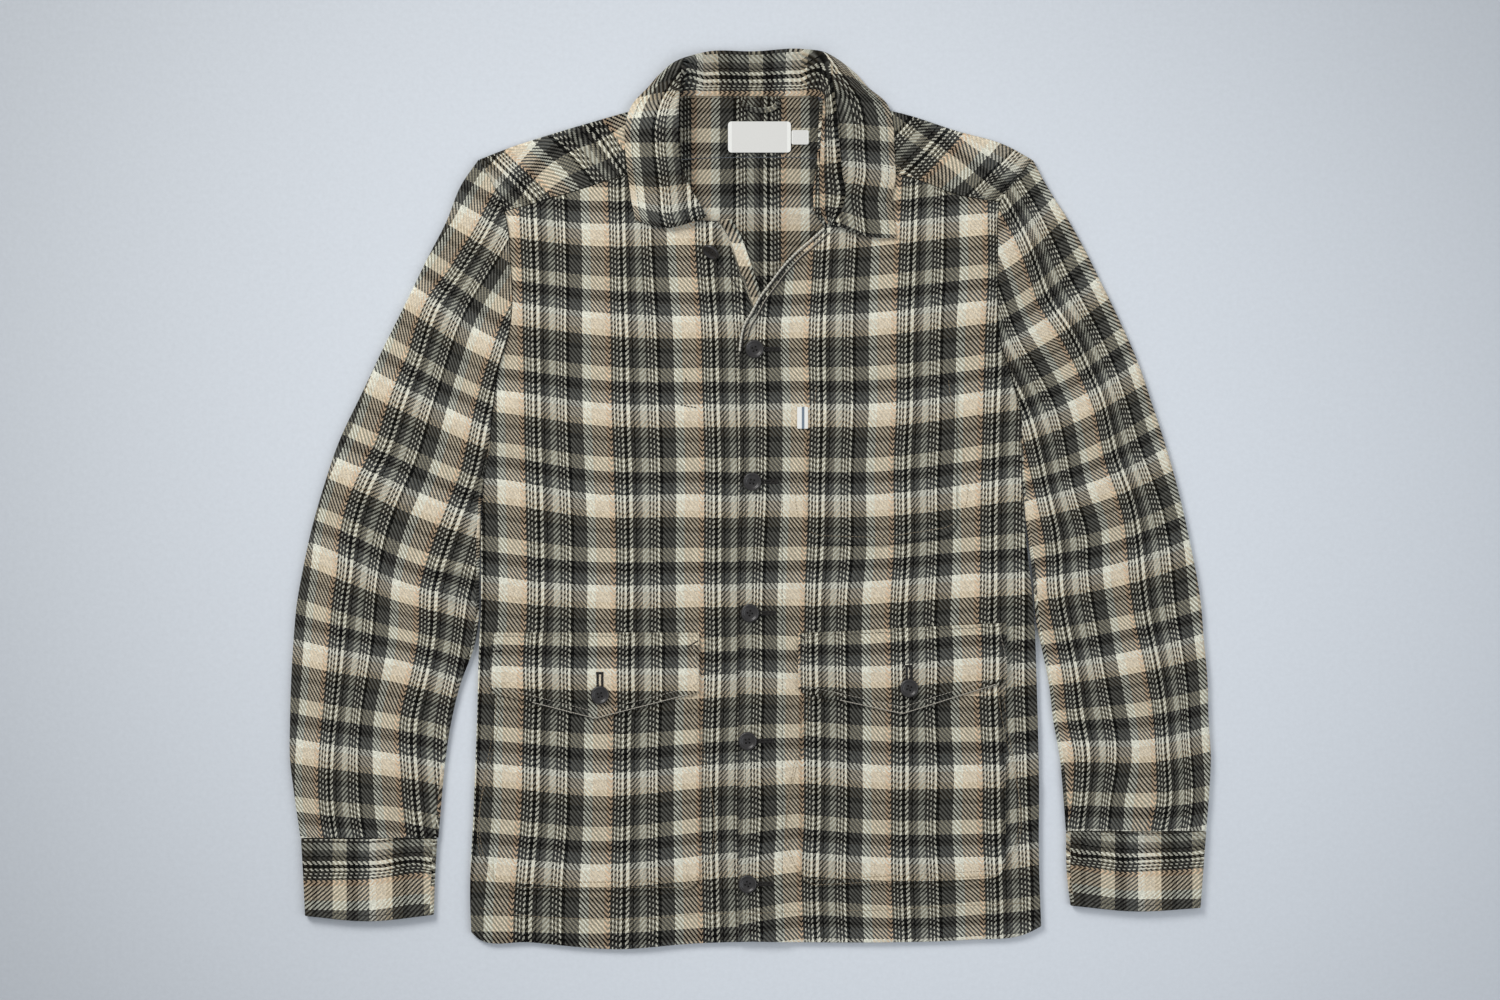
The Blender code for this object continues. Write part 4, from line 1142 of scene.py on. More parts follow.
def build_sleeves(plaid):
    folds = [(SLEEVE_FOLDS, 1.0), (SLEEVE_CREASES, CREASE_DEPTH)]
    for name, half, outward, sleeve_ties, cuff_ties in (
        ("right", RIGHT, -1, (SLEEVE_RIGHT_WARP, SLEEVE_RIGHT_WEFT), (CUFF_RIGHT_WARP, CUFF_RIGHT_WEFT)),
        ("left", LEFT, 1, (SLEEVE_LEFT_WARP, SLEEVE_LEFT_WEFT), (CUFF_LEFT_WARP, CUFF_LEFT_WEFT)),
    ):
        clear = np.array((outward * VISIBLE_CLEARANCE, 0))
        count = len(half.sleeve) - 1
        table = spline(half.sleeve, np.linspace(0, count, count * SLEEVE_FINE + 1))
        table[:, 4] = np.clip(table[:, 4], 0, 1)
        grid = np.array([ring(sleeve_row(row, half.armhole) + clear, SLEEVE_HEIGHT, SLEEVE_CROWN, folds)
                         for row in table])
        check, after = tube_check(grid, check_at(*sleeve_ties))
        cloth("sleeve_" + name, grid, check, plaid, after, around=True)
        table = spline(half.cuff, np.linspace(0, 2, 2 * CUFF_FINE + 1))
        rings = []
        for outer_x, outer_y, inner_x, inner_y, sag in table:
            inner, outer = np.array((inner_x, inner_y)), np.array((outer_x, outer_y))
            middle = (inner + outer) / 2 - (0, sag)
            curve = sampled([inner, middle, outer], 12) + clear
            rings.append(ring(curve, CUFF_HEIGHT, 0, []))
        grid = np.array(rings)
        check, after = tube_check(grid, check_at(*cuff_ties))
        cloth("cuff_" + name, grid, check, plaid, after, around=True)


STITCH_INSET = 6.5
# A panel's lines stand closer in a band along its edges, where its turned edge puffs up beside its seam
EDGE_LINES = 12
EDGE_BAND = 11
EDGE_CROWDING = 1.5
FLAP_ROWS = 50
PUFF = 0.25
PUFF_INSET, PUFF_WIDTH, SEAM_WIDTH = 3, 2.2, 1.2


def crowded(length, count):
    """Places along a length, closer together near its ends."""
    near = np.linspace(0, 1, EDGE_LINES + 1) ** EDGE_CROWDING * min(EDGE_BAND, length / 3)
    middle = np.linspace(near[-1], length - near[-1], count + 1)[1:-1]
    return np.concatenate([near, middle, length - near[::-1]])


def corner_drop(distance, radius):
    """How far a rounded corner's outline stands back, at a distance from the side."""
    reach = np.clip(radius - distance, 0, radius)
    return radius - np.sqrt(radius ** 2 - reach ** 2)


def lower_edge(shape, place):
    """The height in the picture of a patch's lower edge, at a distance from its left side."""
    width = shape.right - shape.left
    from_side = np.minimum(place, width - place)
    pointed = shape.point * (1 - np.abs(2 * place / width - 1))
    return shape.bottom + corner_drop(from_side, shape.radius) - pointed


def panel_grid(shape, top, height, top_radius=0.0, puff=0.0, rows=70, columns=70):
    """A patch with rounded lower corners, perhaps pointed, whose right end may be higher."""
    width = shape.right - shape.left
    across = crowded(width, columns)
    low = lower_edge(shape, across)
    high = top - corner_drop(np.minimum(across, width - across), top_radius)
    depth = top - shape.bottom
    share = crowded(depth, rows)[:, None] / depth
    sides = shape.rise * (across / width - 0.5)
    y = low * (1 - share) + high * share + sides
    x = np.broadcast_to(shape.left + across, y.shape)
    level = height(x, y)
    if puff:
        inside = np.minimum(np.minimum(across, width - across)[None], y - sides - low)
        raised = np.exp(-((inside - PUFF_INSET) / PUFF_WIDTH) ** 2)
        level = level + puff * (raised - np.exp(-((inside - STITCH_INSET) / SEAM_WIDTH) ** 2))
    return np.dstack([x, y, level])


def over_pocket(shape, height):
    middle = (shape.left + shape.right) / 2

    def at(x, y):
        top = shape.top + shape.rise * (x - middle) / (shape.right - shape.left)
        return height(x, y) + LAYER * (1 + smoothstep(*FLAP_STEP, top - y))

    return at


def build_pockets(plaid):
    for name, shape, height, warp, weft in (
        ("hip_pocket_right", HIP_RIGHT, front_height, FRONT_RIGHT_WARP, FRONT_RIGHT_WEFT),
        ("hip_pocket_left", HIP_LEFT, lapped_height, FRONT_LEFT_WARP, HIP_LEFT_WEFT),
        ("chest_pocket", CHEST, lapped_height, FRONT_LEFT_WARP, FRONT_LEFT_WEFT),
        ("flap_right", FLAP_RIGHT, front_height, FLAP_RIGHT_WARP, FLAP_RIGHT_WEFT),
        ("flap_left", FLAP_LEFT, lapped_height, FLAP_LEFT_WARP, FLAP_LEFT_WEFT),
    ):
        if name.startswith("flap"):
            grid = panel_grid(shape, shape.top, over_pocket(shape, height), puff=PUFF, rows=FLAP_ROWS)
        else:
            top = shape.top - (POCKET_BELOW_FLAP_TOP if name.startswith("hip") else 0)
            grid = panel_grid(shape, top, lambda x, y, h=height: h(x, y) + LAYER, puff=PUFF)
        cloth(name, grid, check_at(warp, weft), plaid)


# The check along the collar, at its sections, and across its stand from the fold to the neck seam
COLLAR_WEFT = [-2.18, -2.0, -1.8, -1.56, -1.3, -1.1, -0.85, -0.62, -0.52, -0.42, 0.16, 0.75, 1.05, 1.26, 1.41,
               1.57, 1.84, 2.13, 2.4, 2.59, 2.79]
STAND_WEFT = [-1.75, -1.57, -1.35, -1.13, -0.9, -0.66, -0.45, -0.2, -0.1, 0.088, 0.67, 1.171, 1.368, 1.5,
              1.62, 1.82, 2.08, 2.35, 2.6, 2.8, 2.95]
STAND_SHARE = [0, 0.11, 0.376, 0.427, 0.498, 0.59, 0.784, 0.9, 1]
STAND_WARP = [0.70, 0.68, 0.56, 0.53, 0.484, 0.443, 0.375, 0.30, 0.25]
STAND_SEAM_WARP = STAND_WARP[-1]
STAND_SPREAD = [0.45] * 8 + [0.7, 1, 1, 1, 0.7] + [0.45] * 8
LEAF_EDGE_WARP = 0.153
COLLAR_LINES = 210
COLLAR_ACROSS = 60
STEEP_SHARE = 0.35
LEAF_UNEVEN = 0.8
STAND_INNER_FACE_AND_PAINTED_SHADE = 0.8


def build_collar(plaid):
    count = len(COLLAR) - 1
    position = np.linspace(0, count, COLLAR_LINES + 1)
    sections = np.stack([spline(points, position) for points in zip(*COLLAR)], axis=1)
    across = np.linspace(0, 3, COLLAR_ACROSS + 1)
    grid = np.array([spline(section, across) for section in sections])
    uneven = unevenness(grid[..., 0], grid[..., 1]) * np.sin(np.pi * np.clip(across - 1, 0, 2) / 2)
    grid[..., 2] = np.maximum(grid[..., 2] + uneven * LEAF_UNEVEN, COLLAR_LOWEST)
    lengths = np.concatenate([np.zeros((len(grid), 1)),
                              np.cumsum(np.linalg.norm(np.diff(grid, axis=1), axis=2), axis=1)], axis=1)
    fold = COLLAR_ACROSS // 3
    steps = np.linalg.norm(np.diff(grid * (1, 1, STEEP_SHARE), axis=1), axis=2)
    from_edge = np.concatenate([np.cumsum(steps[:, ::-1], axis=1)[:, ::-1], np.zeros((len(grid), 1))], axis=1)
    leaf_warp = LEAF_EDGE_WARP - from_edge / WARP_REPEAT
    to_seam = 1 - lengths / lengths[:, fold:fold + 1]
    stand_warp = np.interp(to_seam, STAND_SHARE, STAND_WARP)
    spread, stand_weft, leaf_weft = (np.interp(position, range(count + 1), table)[:, None]
                                     for table in (STAND_SPREAD, STAND_WEFT, COLLAR_WEFT))
    stand_warp = STAND_SEAM_WARP + (stand_warp - STAND_SEAM_WARP) * spread
    column = np.arange(COLLAR_ACROSS + 1)[None]
    leaf = np.stack([leaf_warp, leaf_weft + 0 * leaf_warp], axis=-1)
    stand = np.stack([stand_warp, stand_weft + 0 * stand_warp], axis=-1)
    check = np.where((column >= fold)[..., None], leaf, stand)
    check_after = np.where((column > fold)[..., None], leaf, stand)
    # The stand is darkened from its neck seam to the fold: its inner face, and painted shade under the leaf
    inner = smoothstep(1.1, 0.5, across)[None, :] * STAND_INNER_FACE_AND_PAINTED_SHADE
    cloth("collar", grid, check, plaid, check_after, inside=inner)


LOOP_CROWN = 0.25
LOOP_WARP, LOOP_WARP_WIDTH, LOOP_WEFT, LOOP_WEFT_LENGTH = 0.60, 0.03, 0.3, 0.5
WOVEN_EDGE, TAB_STRIPE = (0.66, 0.655, 0.63), (0.16, 0.20, 0.25)


def build_trim(plaid):
    on_yoke = BACK_LEVEL + CLOTH / 2 + GAP + TRIM / 2
    woven = tab_material("woven_label", WOVEN_EDGE, 0.06, 0.94)
    striped = tab_material("woven_tab", TAB_STRIPE, 0.42, 0.66)
    for name, shape, height, material in (
        ("neck_label", LABEL, lambda x, y: np.full(np.shape(x), on_yoke), woven),
        ("size_tab", SIZE_TAB, lambda x, y: np.full(np.shape(x), on_yoke), woven),
        ("pocket_tab", POCKET_TAB, lambda x, y: lapped_height(x, y) + CLOTH / 2 + GAP + TRIM / 2, striped),
    ):
        radius = 1 if name == "pocket_tab" else shape.radius
        grid = panel_grid(shape, shape.top, height, radius, rows=12, columns=12)
        share = (grid[..., 0] - shape.left) / (shape.right - shape.left)
        check = np.stack([share, (grid[..., 1] - shape.bottom) / (shape.top - shape.bottom)], axis=-1)
        cloth(name, grid, check, material, thickness=TRIM)
    path = sampled(LOOP, 80)
    run = np.gradient(path, axis=0)
    aside = np.c_[-run[:, 1], run[:, 0]] / np.linalg.norm(run, axis=1, keepdims=True)
    share = np.linspace(0, 1, len(path))
    level = BACK_LEVEL + CLOTH / 2 + GAP + LOOP_THICK / 2 + LOOP_LIFT * np.sin(np.pi * share)
    across = np.linspace(-0.5, 0.5, 9)
    flat = path[:, None] + aside[:, None] * LOOP_WIDTH * across[None, :, None]
    crown = LOOP_CROWN * (1 - (2 * across) ** 2)
    grid = np.dstack([flat, level[:, None] + crown[None]])
    warp = LOOP_WARP + 0 * share[:, None] + across[None] * LOOP_WARP_WIDTH
    weft = LOOP_WEFT + share[:, None] * LOOP_WEFT_LENGTH + 0 * across[None]
    check = np.stack([warp, weft], axis=-1)
    cloth("hanging_loop", grid, check, plaid, thickness=LOOP_THICK)


# A turned button: its holes, and its profile as (radius, height)
HOLE_RADIUS = 0.85
HOLE_OFFSET = 1.5
BUTTON_PROFILE = [(0, 0), (5.4, 0), (7.2, 0.45), (7.9, 1.2), (8.0, 1.9), (7.85, 2.6), (7.35, 3.1), (6.8, 3.2),
                  (6.2, 3.05), (5.7, 2.6), (5.2, 2.25), (4.4, 2.1), (0, 2.1)]
BUTTON_SEGMENTS = 56
DISH_HEIGHT = 2.1
HOLE_CORNERS = ((1, 1), (-1, 1), (-1, -1), (1, -1))
HOLE_SEGMENTS, DRILL_LENGTH, DRILL_LEVEL = 16, 8, 2


def button_mesh(horn):
    """One turned button with its four holes, in metres."""
    form = bmesh.new()
    rings = []
    for radius, height in BUTTON_PROFILE[1:-1]:
        angles = 2 * np.pi * np.arange(BUTTON_SEGMENTS) / BUTTON_SEGMENTS
        rings.append([form.verts.new((radius * MM * math.cos(a), radius * MM * math.sin(a), height * MM))
                      for a in angles])
    for lower, upper in zip(rings, rings[1:]):
        for side in range(BUTTON_SEGMENTS):
            following = (side + 1) % BUTTON_SEGMENTS
            form.faces.new((lower[side], lower[following], upper[following], upper[side]))
    form.faces.new(rings[0][::-1])
    form.faces.new(rings[-1])
    mesh = bpy.data.meshes.new("button_turned")
    form.to_mesh(mesh)
    form.free()
    turned = placed("button_turned", mesh)
    cutters = []
    for x, y in HOLE_CORNERS:
        form = bmesh.new()
        place = Matrix.Translation((x * HOLE_OFFSET * MM, y * HOLE_OFFSET * MM, DRILL_LEVEL * MM))
        bmesh.ops.create_cone(form, cap_ends=True, segments=HOLE_SEGMENTS, radius1=HOLE_RADIUS * MM,
                              radius2=HOLE_RADIUS * MM, depth=DRILL_LENGTH * MM, matrix=place)
        drill = bpy.data.meshes.new("drill")
        form.to_mesh(drill)
        form.free()
        cutter = placed("drill", drill)
        hole = turned.modifiers.new("Hole", "BOOLEAN")
        hole.operation = "DIFFERENCE"
        hole.object = cutter
        cutters.append(cutter)
    bpy.context.view_layer.update()
    applied(turned)
    turned.data.set_sharp_from_angle(angle=SHARP_ANGLE)
    turned.data.materials.clear()
    turned.data.materials.append(horn)
    shape = turned.data
    for obj in [turned, *cutters]:
        bpy.data.objects.remove(obj, do_unlink=True)
    return shape


def button_seat(button):
    """The height of a button's foot: just clear of the cloth under it, or tilted up from it at the neck."""
    angles = np.linspace(0, 2 * np.pi, 19)
    x = button.x + BUTTON_RADIUS * np.append(np.cos(angles), 0)
    y = button.y + BUTTON_RADIUS * np.append(np.sin(angles), 0)
    height = front_height if button.x < UNDERLAP_EDGE_X - 40 else lapped_height
    lift = NECK_BUTTON_LIFT if button.tilt else 0
    return float(np.max(height(x, y))) + button.layers * LAYER + CLOTH / 2 + GAP + lift


STITCH_RINGS = [(-0.5, 0.35), (-0.34, 1.0), (0.34, 1.0), (0.5, 0.35)]
STITCH_SIDES = 5
STEEPEST_STITCH = 1.5
BAR_RADIUS, BAR_PITCH, BAR_LIFT = 0.27, 0.55, 0.16

Stitch = namedtuple("Stitch", "pitch length radius sink")
PLAIN_STITCH = Stitch(3.0, 2.1, 0.24, 0.08)
MARK_STITCH = Stitch(3.0, 2.1, 0.5, 0.08)
FLAP_EDGE_STITCH = Stitch(2.0, 2.0, 0.4, 0.2)
# Continuous dark lines laid in grooves and beside rolled edges: painted shade
GROOVE_SHADE_LINE = Stitch(2.6, 2.6, 0.5, 0.3)
NECK_PALE_STITCH = Stitch(2.6, 2.5, 0.42, 0.2)
# A raised pale line on the rolled neck edge: the roll is real, its pale colour is a painted highlight
NECK_LIP_HIGHLIGHT_STITCH = Stitch(3.4, 3.3, 1.0, 0.5)


class Ground:
    """The fine cloth as seen from above."""

    def __init__(self, pieces):
        points, faces = [], []
        for piece in pieces:
            first = len(points)
            mesh = piece.data
            place = np.empty(len(mesh.vertices) * 3)
            mesh.vertices.foreach_get("co", place)
            points += place.reshape(-1, 3).tolist()
            faces += [[first + index for index in face.vertices] for face in mesh.polygons]
        self.tree = BVHTree.FromPolygons(points, faces)

    def height(self, x, y):
        """The top of the cloth at a place, in millimetres."""
        above = Vector(to_row((x, y, 100)))
        hit = self.tree.ray_cast(above, Vector((0, 0, -1)))[0]
        return hit.z / MM if hit else 0.0


class Threads:
    """Short lengths of thread on the ground, gathered into one piece."""

    def __init__(self, ground=None):
        self.ground = ground
        self.points = []
        self.faces = []

    def add(self, start, end, radius):
        """One length between two points in millimetres."""
        start, end = np.asarray(start, float), np.asarray(end, float)
        length = np.linalg.norm(end - start)
        run = (end - start) / length
        side = np.cross(run, (0, 0, 1.0))
        size = np.linalg.norm(side)
        side = side / size if size > TINY else np.array((1.0, 0, 0))
        up = np.cross(side, run)
        first = len(self.points)
        middle = (start + end) / 2
        for share, width in STITCH_RINGS:
            for step in range(STITCH_SIDES):
                angle = 2 * math.pi * step / STITCH_SIDES
                offset = (side * math.cos(angle) + up * math.sin(angle)) * radius * width
                self.points.append(middle + run * length * share + offset)
        for start_of_ring in range(first, first + (len(STITCH_RINGS) - 1) * STITCH_SIDES, STITCH_SIDES):
            for step in range(STITCH_SIDES):
                low, following = start_of_ring + step, start_of_ring + (step + 1) % STITCH_SIDES
                self.faces.append((low, following, following + STITCH_SIDES, low + STITCH_SIDES))
        last = first + (len(STITCH_RINGS) - 1) * STITCH_SIDES
        self.faces.append(tuple(range(first + STITCH_SIDES - 1, first - 1, -1)))
        self.faces.append(tuple(range(last, last + STITCH_SIDES)))

    def sew(self, path, stitch=PLAIN_STITCH):
        """Stitches along a path (x, y), lying on the cloth."""
        path = np.asarray(path, float)
        total = chord_lengths(path)[-1]
        reach = stitch.length / 2
        for step in range(int(total / stitch.pitch)):
            middle = (step + 0.5) * stitch.pitch
            ends = along(path, np.clip([(middle - reach) / total, (middle + reach) / total], 0, 1))
            levels = [self.ground.height(*end) + stitch.radius - stitch.sink for end in ends]
            if abs(levels[0] - levels[1]) < STEEPEST_STITCH:
                self.add((*ends[0], levels[0]), (*ends[1], levels[1]), stitch.radius)

    def bar(self, start, end, width):
        """A bar of close thread across a line from one place to another."""
        start, run = np.asarray(start, float), np.subtract(end, start).astype(float)
        length = np.linalg.norm(run)
        aside = np.array((-run[1], run[0])) / length * width / 2
        for step in range(int(length / BAR_PITCH) + 1):
            place = start + run * step * BAR_PITCH / length
            level = self.ground.height(*place) + BAR_LIFT
            self.add((*(place - aside), level), (*(place + aside), level), BAR_RADIUS)

    def finish(self, name, material, slot="plaid_wool"):
        mesh = bpy.data.meshes.new(name)
        mesh.from_pydata(to_row(self.points).tolist(), [], self.faces)
        mesh.shade_smooth()
        mesh.materials.append(material)
        publish(placed(name, mesh), None)


def around_patch(shape, top, inset):
    """The stitch line inside a patch's sides and lower edge."""
    width = shape.right - shape.left
    place = np.linspace(inset, width - inset, 60)
    lower = lower_edge(shape, place) + inset
    sides = shape.rise * (place / width - 0.5)
    left = [(shape.left + inset, top - 2 - shape.rise / 2)]
    right = [(shape.right - inset, top - 2 + shape.rise / 2)]
    return [*left, *zip(shape.left + place, lower + sides), *right]


def across_patch(shape, start, end, count, height, above):
    """A path across a patch between two shares of its width, a little above a height along it."""
    width = shape.right - shape.left
    place = np.linspace(width * start, width * end, count)
    return list(zip(shape.left + place, height(place) + above + shape.rise * (place / width - 0.5)))


def shifted(points, aside):
    """A path moved to its left by a distance."""
    points = np.asarray(points, float)
    run = np.gradient(points, axis=0)
    normal = np.c_[-run[:, 1], run[:, 0]] / np.maximum(np.linalg.norm(run, axis=1, keepdims=True), TINY)
    return points + normal * aside


POCKET_TOP_DROP = 52
SECOND_SEAM = 4.5
FLAP_EDGE_INSET, FLAP_TOP_INSET = 0.9, 3
HEM_SEAMS = [
    [(-236, -355), (-201, -361), (-140, -364.5), (-79, -364), (-44, -360), (-14, -360)],
    [(-8, -360), (43, -358), (110, -357), (182, -353), (240, -351)],
]
LAP_SEAMS = [[(LAP_EDGE_X + 6, -382), (LAP_EDGE_X + 6, 126)], [(27, -380), (27, 150)]]
# A dark line along the groove of the under front's neck band: painted shade
UNDER_NECK_GROOVE_SHADE = [(-28.7, 206.2), (-18.3, 193.1), (-5.2, 173.1)]
CHEST_MARKS = [[(-56.6, 105.3), (-56.6, 98.3)], [(-61.8, 81.8), (-47, 79.2)]]
YOKE_SEAM_INSET = 3.0
LEAF_SEAM_INSET, LEAF_SEAM_POINTS, LEAF_SEAM_ENDS = 6, 120, (44, 74)
CUFF_SEAM_INSETS = ((0, -3), (2, 5))
CUFF_SEAM_START = 0.04
TACK_WIDTH = 1.3
TACKS = [((-54, -128), (-46, -123)), ((42.5, -118), (47, -123)), ((-222, -132), (-216, -132))]

# Along the neck edge: how far each line lies from it, and the line's first point. The pale line nearest the
# edge is a painted highlight on its roll; the dark lines are painted shade beside the roll and beside the
# pale stitching.
NeckLine = namedtuple("NeckLine", "thread inset first stitch")
NECK_LINES = rows(NeckLine, [
    ("lip", 1.1, 0, NECK_LIP_HIGHLIGHT_STITCH), ("dark", 3.0, 0, GROOVE_SHADE_LINE), ("pale", 6.2, 6, NECK_PALE_STITCH),
    ("dark", 7.4, 6, GROOVE_SHADE_LINE),
])

# A buttonhole's bars: where they start and end from the button's middle, and their widths
Hole = namedtuple("Hole", "along start end aside width end_reach end_width")
FRONT_HOLE = Hole((1, 0), 4, 22, 1.1, 1.9, 1.6, 1.6)
FLAP_HOLE = Hole((0, 1), 2, 19, 2.0, 2.4, 3.2, 2.4)


def buttonhole(threads, button, hole):
    middle, run = np.array((button.x, button.y)), np.array(hole.along)
    aside = run[::-1]
    start, end = middle + run * hole.start, middle + run * hole.end
    for side in (-hole.aside, hole.aside):
        threads.bar(start + aside * side, end + aside * side, hole.width)
    threads.bar(end - aside * hole.end_reach, end + aside * hole.end_reach, hole.end_width)


def build_sewing():
    ground = Ground(FINE_PIECES)
    tan, dark, pale, lip = (Threads(ground) for _ in range(4))
    by_name = {"lip": lip, "dark": dark, "pale": pale}
    for shape in (HIP_RIGHT, HIP_LEFT):
        for inset in (STITCH_INSET, STITCH_INSET - SECOND_SEAM):
            tan.sew(around_patch(shape, shape.top - POCKET_TOP_DROP, inset))
    tan.sew(around_patch(CHEST, CHEST.top, STITCH_INSET))
    for shape in (FLAP_RIGHT, FLAP_LEFT):
        pale.sew(around_patch(shape, shape.top, STITCH_INSET))
        low = partial(lower_edge, shape)
        pale.sew(across_patch(shape, 0.2, 0.95, 40, low, FLAP_EDGE_INSET), FLAP_EDGE_STITCH)
        inset = FLAP_TOP_INSET / (shape.right - shape.left)
        dark.sew(across_patch(shape, inset, 1 - inset, 30, lambda place, s=shape: s.top, -FLAP_TOP_INSET))
    for seam in HEM_SEAMS:
        tan.sew(seam)
    for seam in LAP_SEAMS:
        dark.sew(seam)
    neck = sampled(LEFT_FRONT_EDGE, 60)
    for line in NECK_LINES:
        by_name[line.thread].sew(shifted(neck[line.first:], -line.inset), line.stitch)
    # Painted shade along the neck band's groove
    dark.sew(UNDER_NECK_GROOVE_SHADE, GROOVE_SHADE_LINE)
    for mark in CHEST_MARKS:
        dark.sew(mark, MARK_STITCH)
    for half in (RIGHT, LEFT):
        dark.sew(sampled(half.yoke_seam, 30)[:27] + (0, YOKE_SEAM_INSET))
    position = np.linspace(0, len(COLLAR) - 1, LEAF_SEAM_POINTS)
    edge = spline([row.edge for row in COLLAR], position)[:, :2]
    inner = spline([row.fall for row in COLLAR], position)[:, :2]
    toward = (inner - edge) / np.linalg.norm(inner - edge, axis=1, keepdims=True)
    leaf = edge + toward * LEAF_SEAM_INSET
    dark.sew(leaf[:LEAF_SEAM_ENDS[0]])
    dark.sew(leaf[LEAF_SEAM_ENDS[1]:])
    for half in (RIGHT, LEFT):
        for index, inset in CUFF_SEAM_INSETS:
            row = half.cuff[index]
            inner, outer = np.array((row.inner_x, row.inner_y)), np.array((row.outer_x, row.outer_y))
            margin = (outer - inner) * CUFF_SEAM_START
            middle = (inner + outer) / 2 - (0, row.sag)
            dark.sew(sampled([inner + margin, middle, outer - margin], 12) + (0, inset))
    for button in BUTTONS[:5]:
        buttonhole(dark, button, FRONT_HOLE)
    for button in BUTTONS[5:7]:
        buttonhole(dark, button, FLAP_HOLE)
    for start, end in TACKS:
        dark.bar(start, end, TACK_WIDTH)
    for threads, name, thread, colour, roughness in (
        (tan, "tan_stitches", "tan_thread", (0.30, 0.24, 0.16), 0.7),
        # The dark threads also draw the painted shade lines in the neck's grooves and beside its roll
        (dark, "dark_stitches_and_shade_lines", "dark_thread_and_painted_shade", (0.020, 0.018, 0.017), 0.7),
        (pale, "pale_stitches", "pale_thread", (0.42, 0.39, 0.33), 0.7),
        # The pale line along the rolled neck edge is coloured as a painted highlight
        (lip, "neck_lip_highlight", "lip_cloth", (0.55, 0.53, 0.46), 0.9),
    ):
        threads.finish(name, plain_material(thread, colour, roughness))


CROSS_LIFT, CROSS_RADIUS, HOLE_THREAD_RADIUS, HOLE_THREAD_FOOT = 0.12, 0.32, 0.42, -0.3


def build_buttons():
    shape = button_mesh(horn_material())
    threads = Threads()
    for button in BUTTONS:
        obj = placed(button.name + "_turned", shape.copy())
        foot = Vector((button.x, button.y, button_seat(button)))
        turn = Euler((math.radians(button.tilt), 0, math.radians(button.turn)))
        obj.matrix_world = Matrix.LocRotScale(Vector(to_row(foot)), turn, None)
        publish(obj, button.name)

        def on_button(x, y, height):
            return foot + turn.to_matrix() @ Vector((x * HOLE_OFFSET, y * HOLE_OFFSET, height))

        for side in (1, -1):
            ends = [on_button(x, x * side, DISH_HEIGHT + CROSS_LIFT) for x in (-1, 1)]
            threads.add(*ends, CROSS_RADIUS)
        for x, y in HOLE_CORNERS:
            threads.add(on_button(x, y, HOLE_THREAD_FOOT), on_button(x, y, DISH_HEIGHT), HOLE_THREAD_RADIUS)
    thread = plain_material("button_thread", (0.022, 0.020, 0.020), 0.6)
    threads.finish("button_threads", thread, "dark_horn")


FLOOR_HALF, FLOOR_DROP = 4.0, 0.0004


def build_stage():
    floor = bpy.data.meshes.new("floor")
    corners = [(x * FLOOR_HALF, y * FLOOR_HALF, -FLOOR_DROP) for x, y in ((-1, -1), (1, -1), (1, 1), (-1, 1))]
    floor.from_pydata(corners, [], [(0, 1, 2, 3)])
    obj = placed("floor", floor)
    floor.materials.append(floor_material())


Light = namedtuple("Light", "name place size watts colour")
LIGHTS = rows(Light, [
    ("key", (-1.5, 1.7, 1.9), 1.2, 62, (1.0, 0.985, 0.96)),
    ("fill", (1.7, -0.6, 2.1), 2.0, 22, (0.95, 0.97, 1.0)),
])
SKY, SKY_STRENGTH = (0.93, 0.96, 1.0), 0.42
LENS, SENSOR, FARTHEST = 85, 36, 20
CAMERA_HEIGHT = 3.08
PICTURE_CENTRE = (-0.9, -0.9, 0)


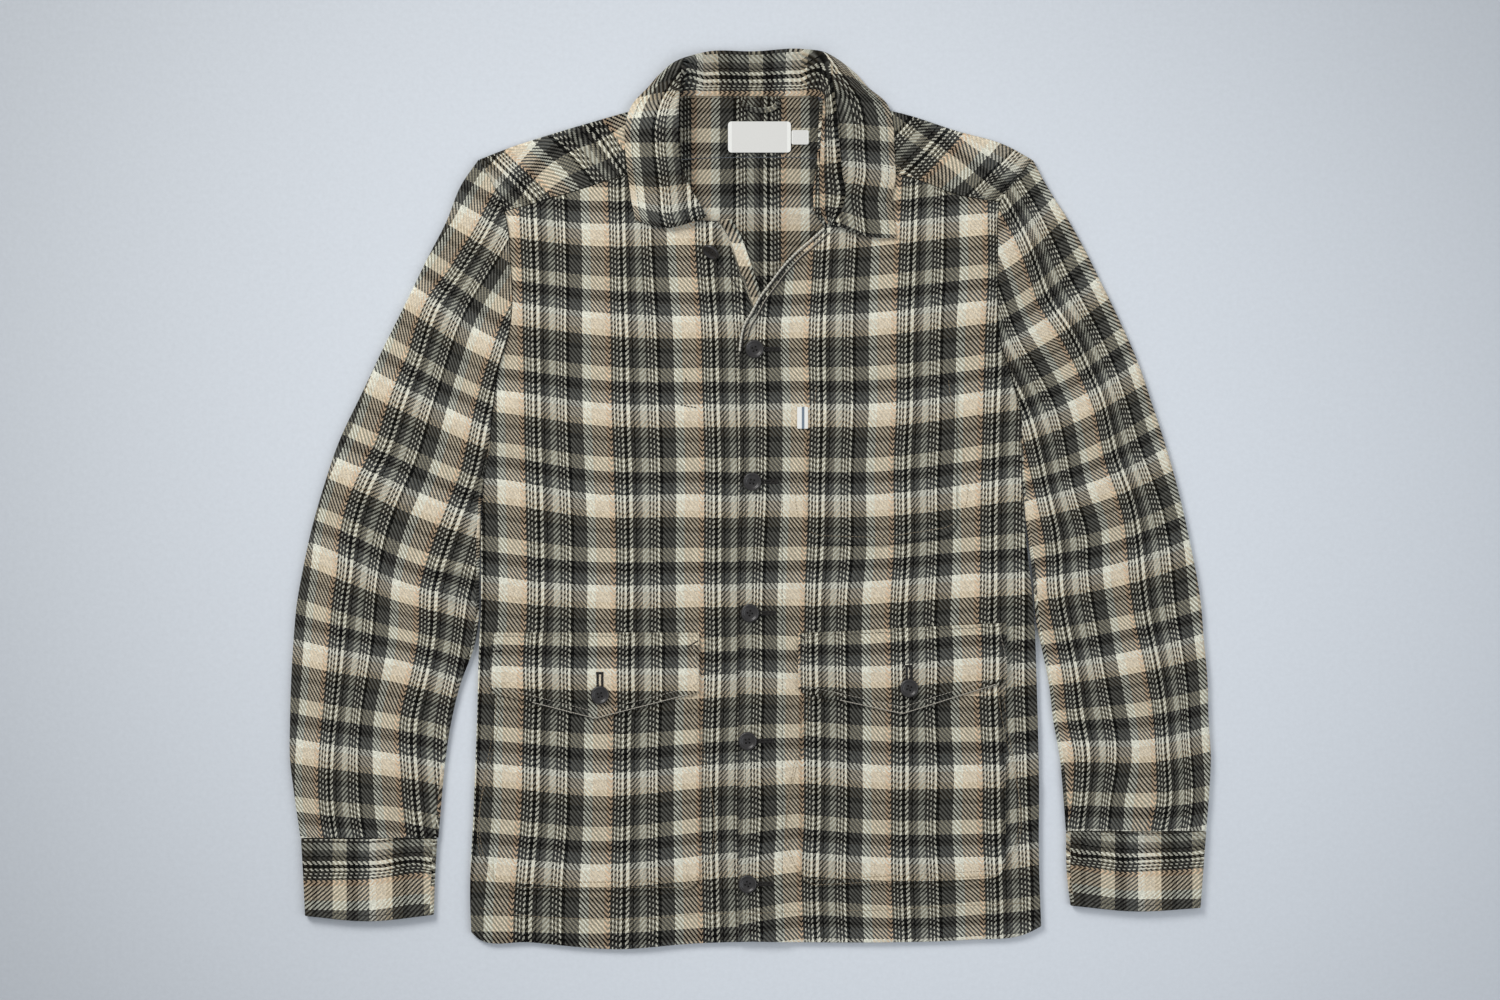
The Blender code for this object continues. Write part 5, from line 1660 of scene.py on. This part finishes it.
def build_light_and_camera():
    scene = bpy.context.scene
    world = bpy.data.worlds.new("studio")
    world.use_nodes = True
    sky = world.node_tree.nodes["Background"]
    sky.inputs[0].default_value = (*SKY, 1)
    sky.inputs[1].default_value = SKY_STRENGTH
    scene.world = world
    for light in LIGHTS:
        data = bpy.data.lights.new(light.name, "AREA")
        data.shape = "SQUARE"
        data.size = light.size
        data.energy = light.watts
        data.color = light.colour
        obj = placed(light.name, data)
        obj.location = light.place
        obj.rotation_euler = (-Vector(light.place)).to_track_quat("-Z", "Y").to_euler()
    data = bpy.data.cameras.new("camera")
    data.lens = LENS
    data.sensor_width = SENSOR
    data.clip_end = FARTHEST
    camera = placed("camera", data)
    centre = to_row(PICTURE_CENTRE)
    camera.location = (centre[0], centre[1], CAMERA_HEIGHT)
    scene.camera = camera
    scene.view_settings.view_transform = "Standard"
    scene.view_settings.look = "None"


# Each sheet's cut: its width, length and area in metres
Cut = namedtuple("Cut", "width length area held rests_on")
SHEETS = {
    "back_panel": Cut(0.497, 0.690, 0.315, "laid", []),
    "yoke": Cut(0.470, 0.160, 0.042, "folded", ["back_panel_cloth"]),
    "front_right": Cut(0.266, 0.680, 0.152, "laid", ["back_panel_cloth"]),
    "front_left": Cut(0.265, 0.680, 0.150, "laid", ["back_panel_cloth", "front_right_cloth"]),
    "collar": Cut(0.430, 0.085, 0.030, "folded", ["front_right_cloth", "front_left_cloth"]),
    "sleeve_right": Cut(0.330, 0.600, 0.150, "laid", []),
    "sleeve_left": Cut(0.330, 0.600, 0.150, "laid", []),
    "cuff_right": Cut(0.240, 0.068, None, "laid", []),
    "cuff_left": Cut(0.240, 0.068, None, "laid", []),
    "hip_pocket_right": Cut(0.178, 0.205, None, "laid", ["front_right_cloth"]),
    "hip_pocket_left": Cut(0.177, 0.203, None, "laid", ["front_left_cloth"]),
    "chest_pocket": Cut(0.128, 0.143, None, "laid", ["front_left_cloth"]),
    "flap_right": Cut(0.181, 0.075, 0.0115, "laid", ["front_right_cloth"]),
    "flap_left": Cut(0.181, 0.075, 0.0115, "laid", ["front_left_cloth"]),
    "neck_label": Cut(0.0546, 0.027, None, "laid", ["yoke_cloth"]),
    "size_tab": Cut(0.0148, 0.0125, None, "laid", ["yoke_cloth"]),
    "pocket_tab": Cut(0.0100, 0.019, None, "laid", ["chest_pocket_cloth"]),
    "hanging_loop": Cut(0.0100, 0.040, 0.0002, "laid", ["yoke_cloth"]),
}


def declare_sheets():
    for piece in FINE_PIECES:
        cut = SHEETS[piece.name.removesuffix("_cloth")]
        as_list(cut.rests_on)


def main():
    plaid = plaid_material()
    build_back(plaid)
    build_yoke(plaid)
    build_fronts(plaid)
    build_sleeves(plaid)
    build_pockets(plaid)
    build_collar(plaid)
    build_trim(plaid)
    build_sewing()
    build_buttons()
    declare_sheets()
    build_stage()
    build_light_and_camera()


main()
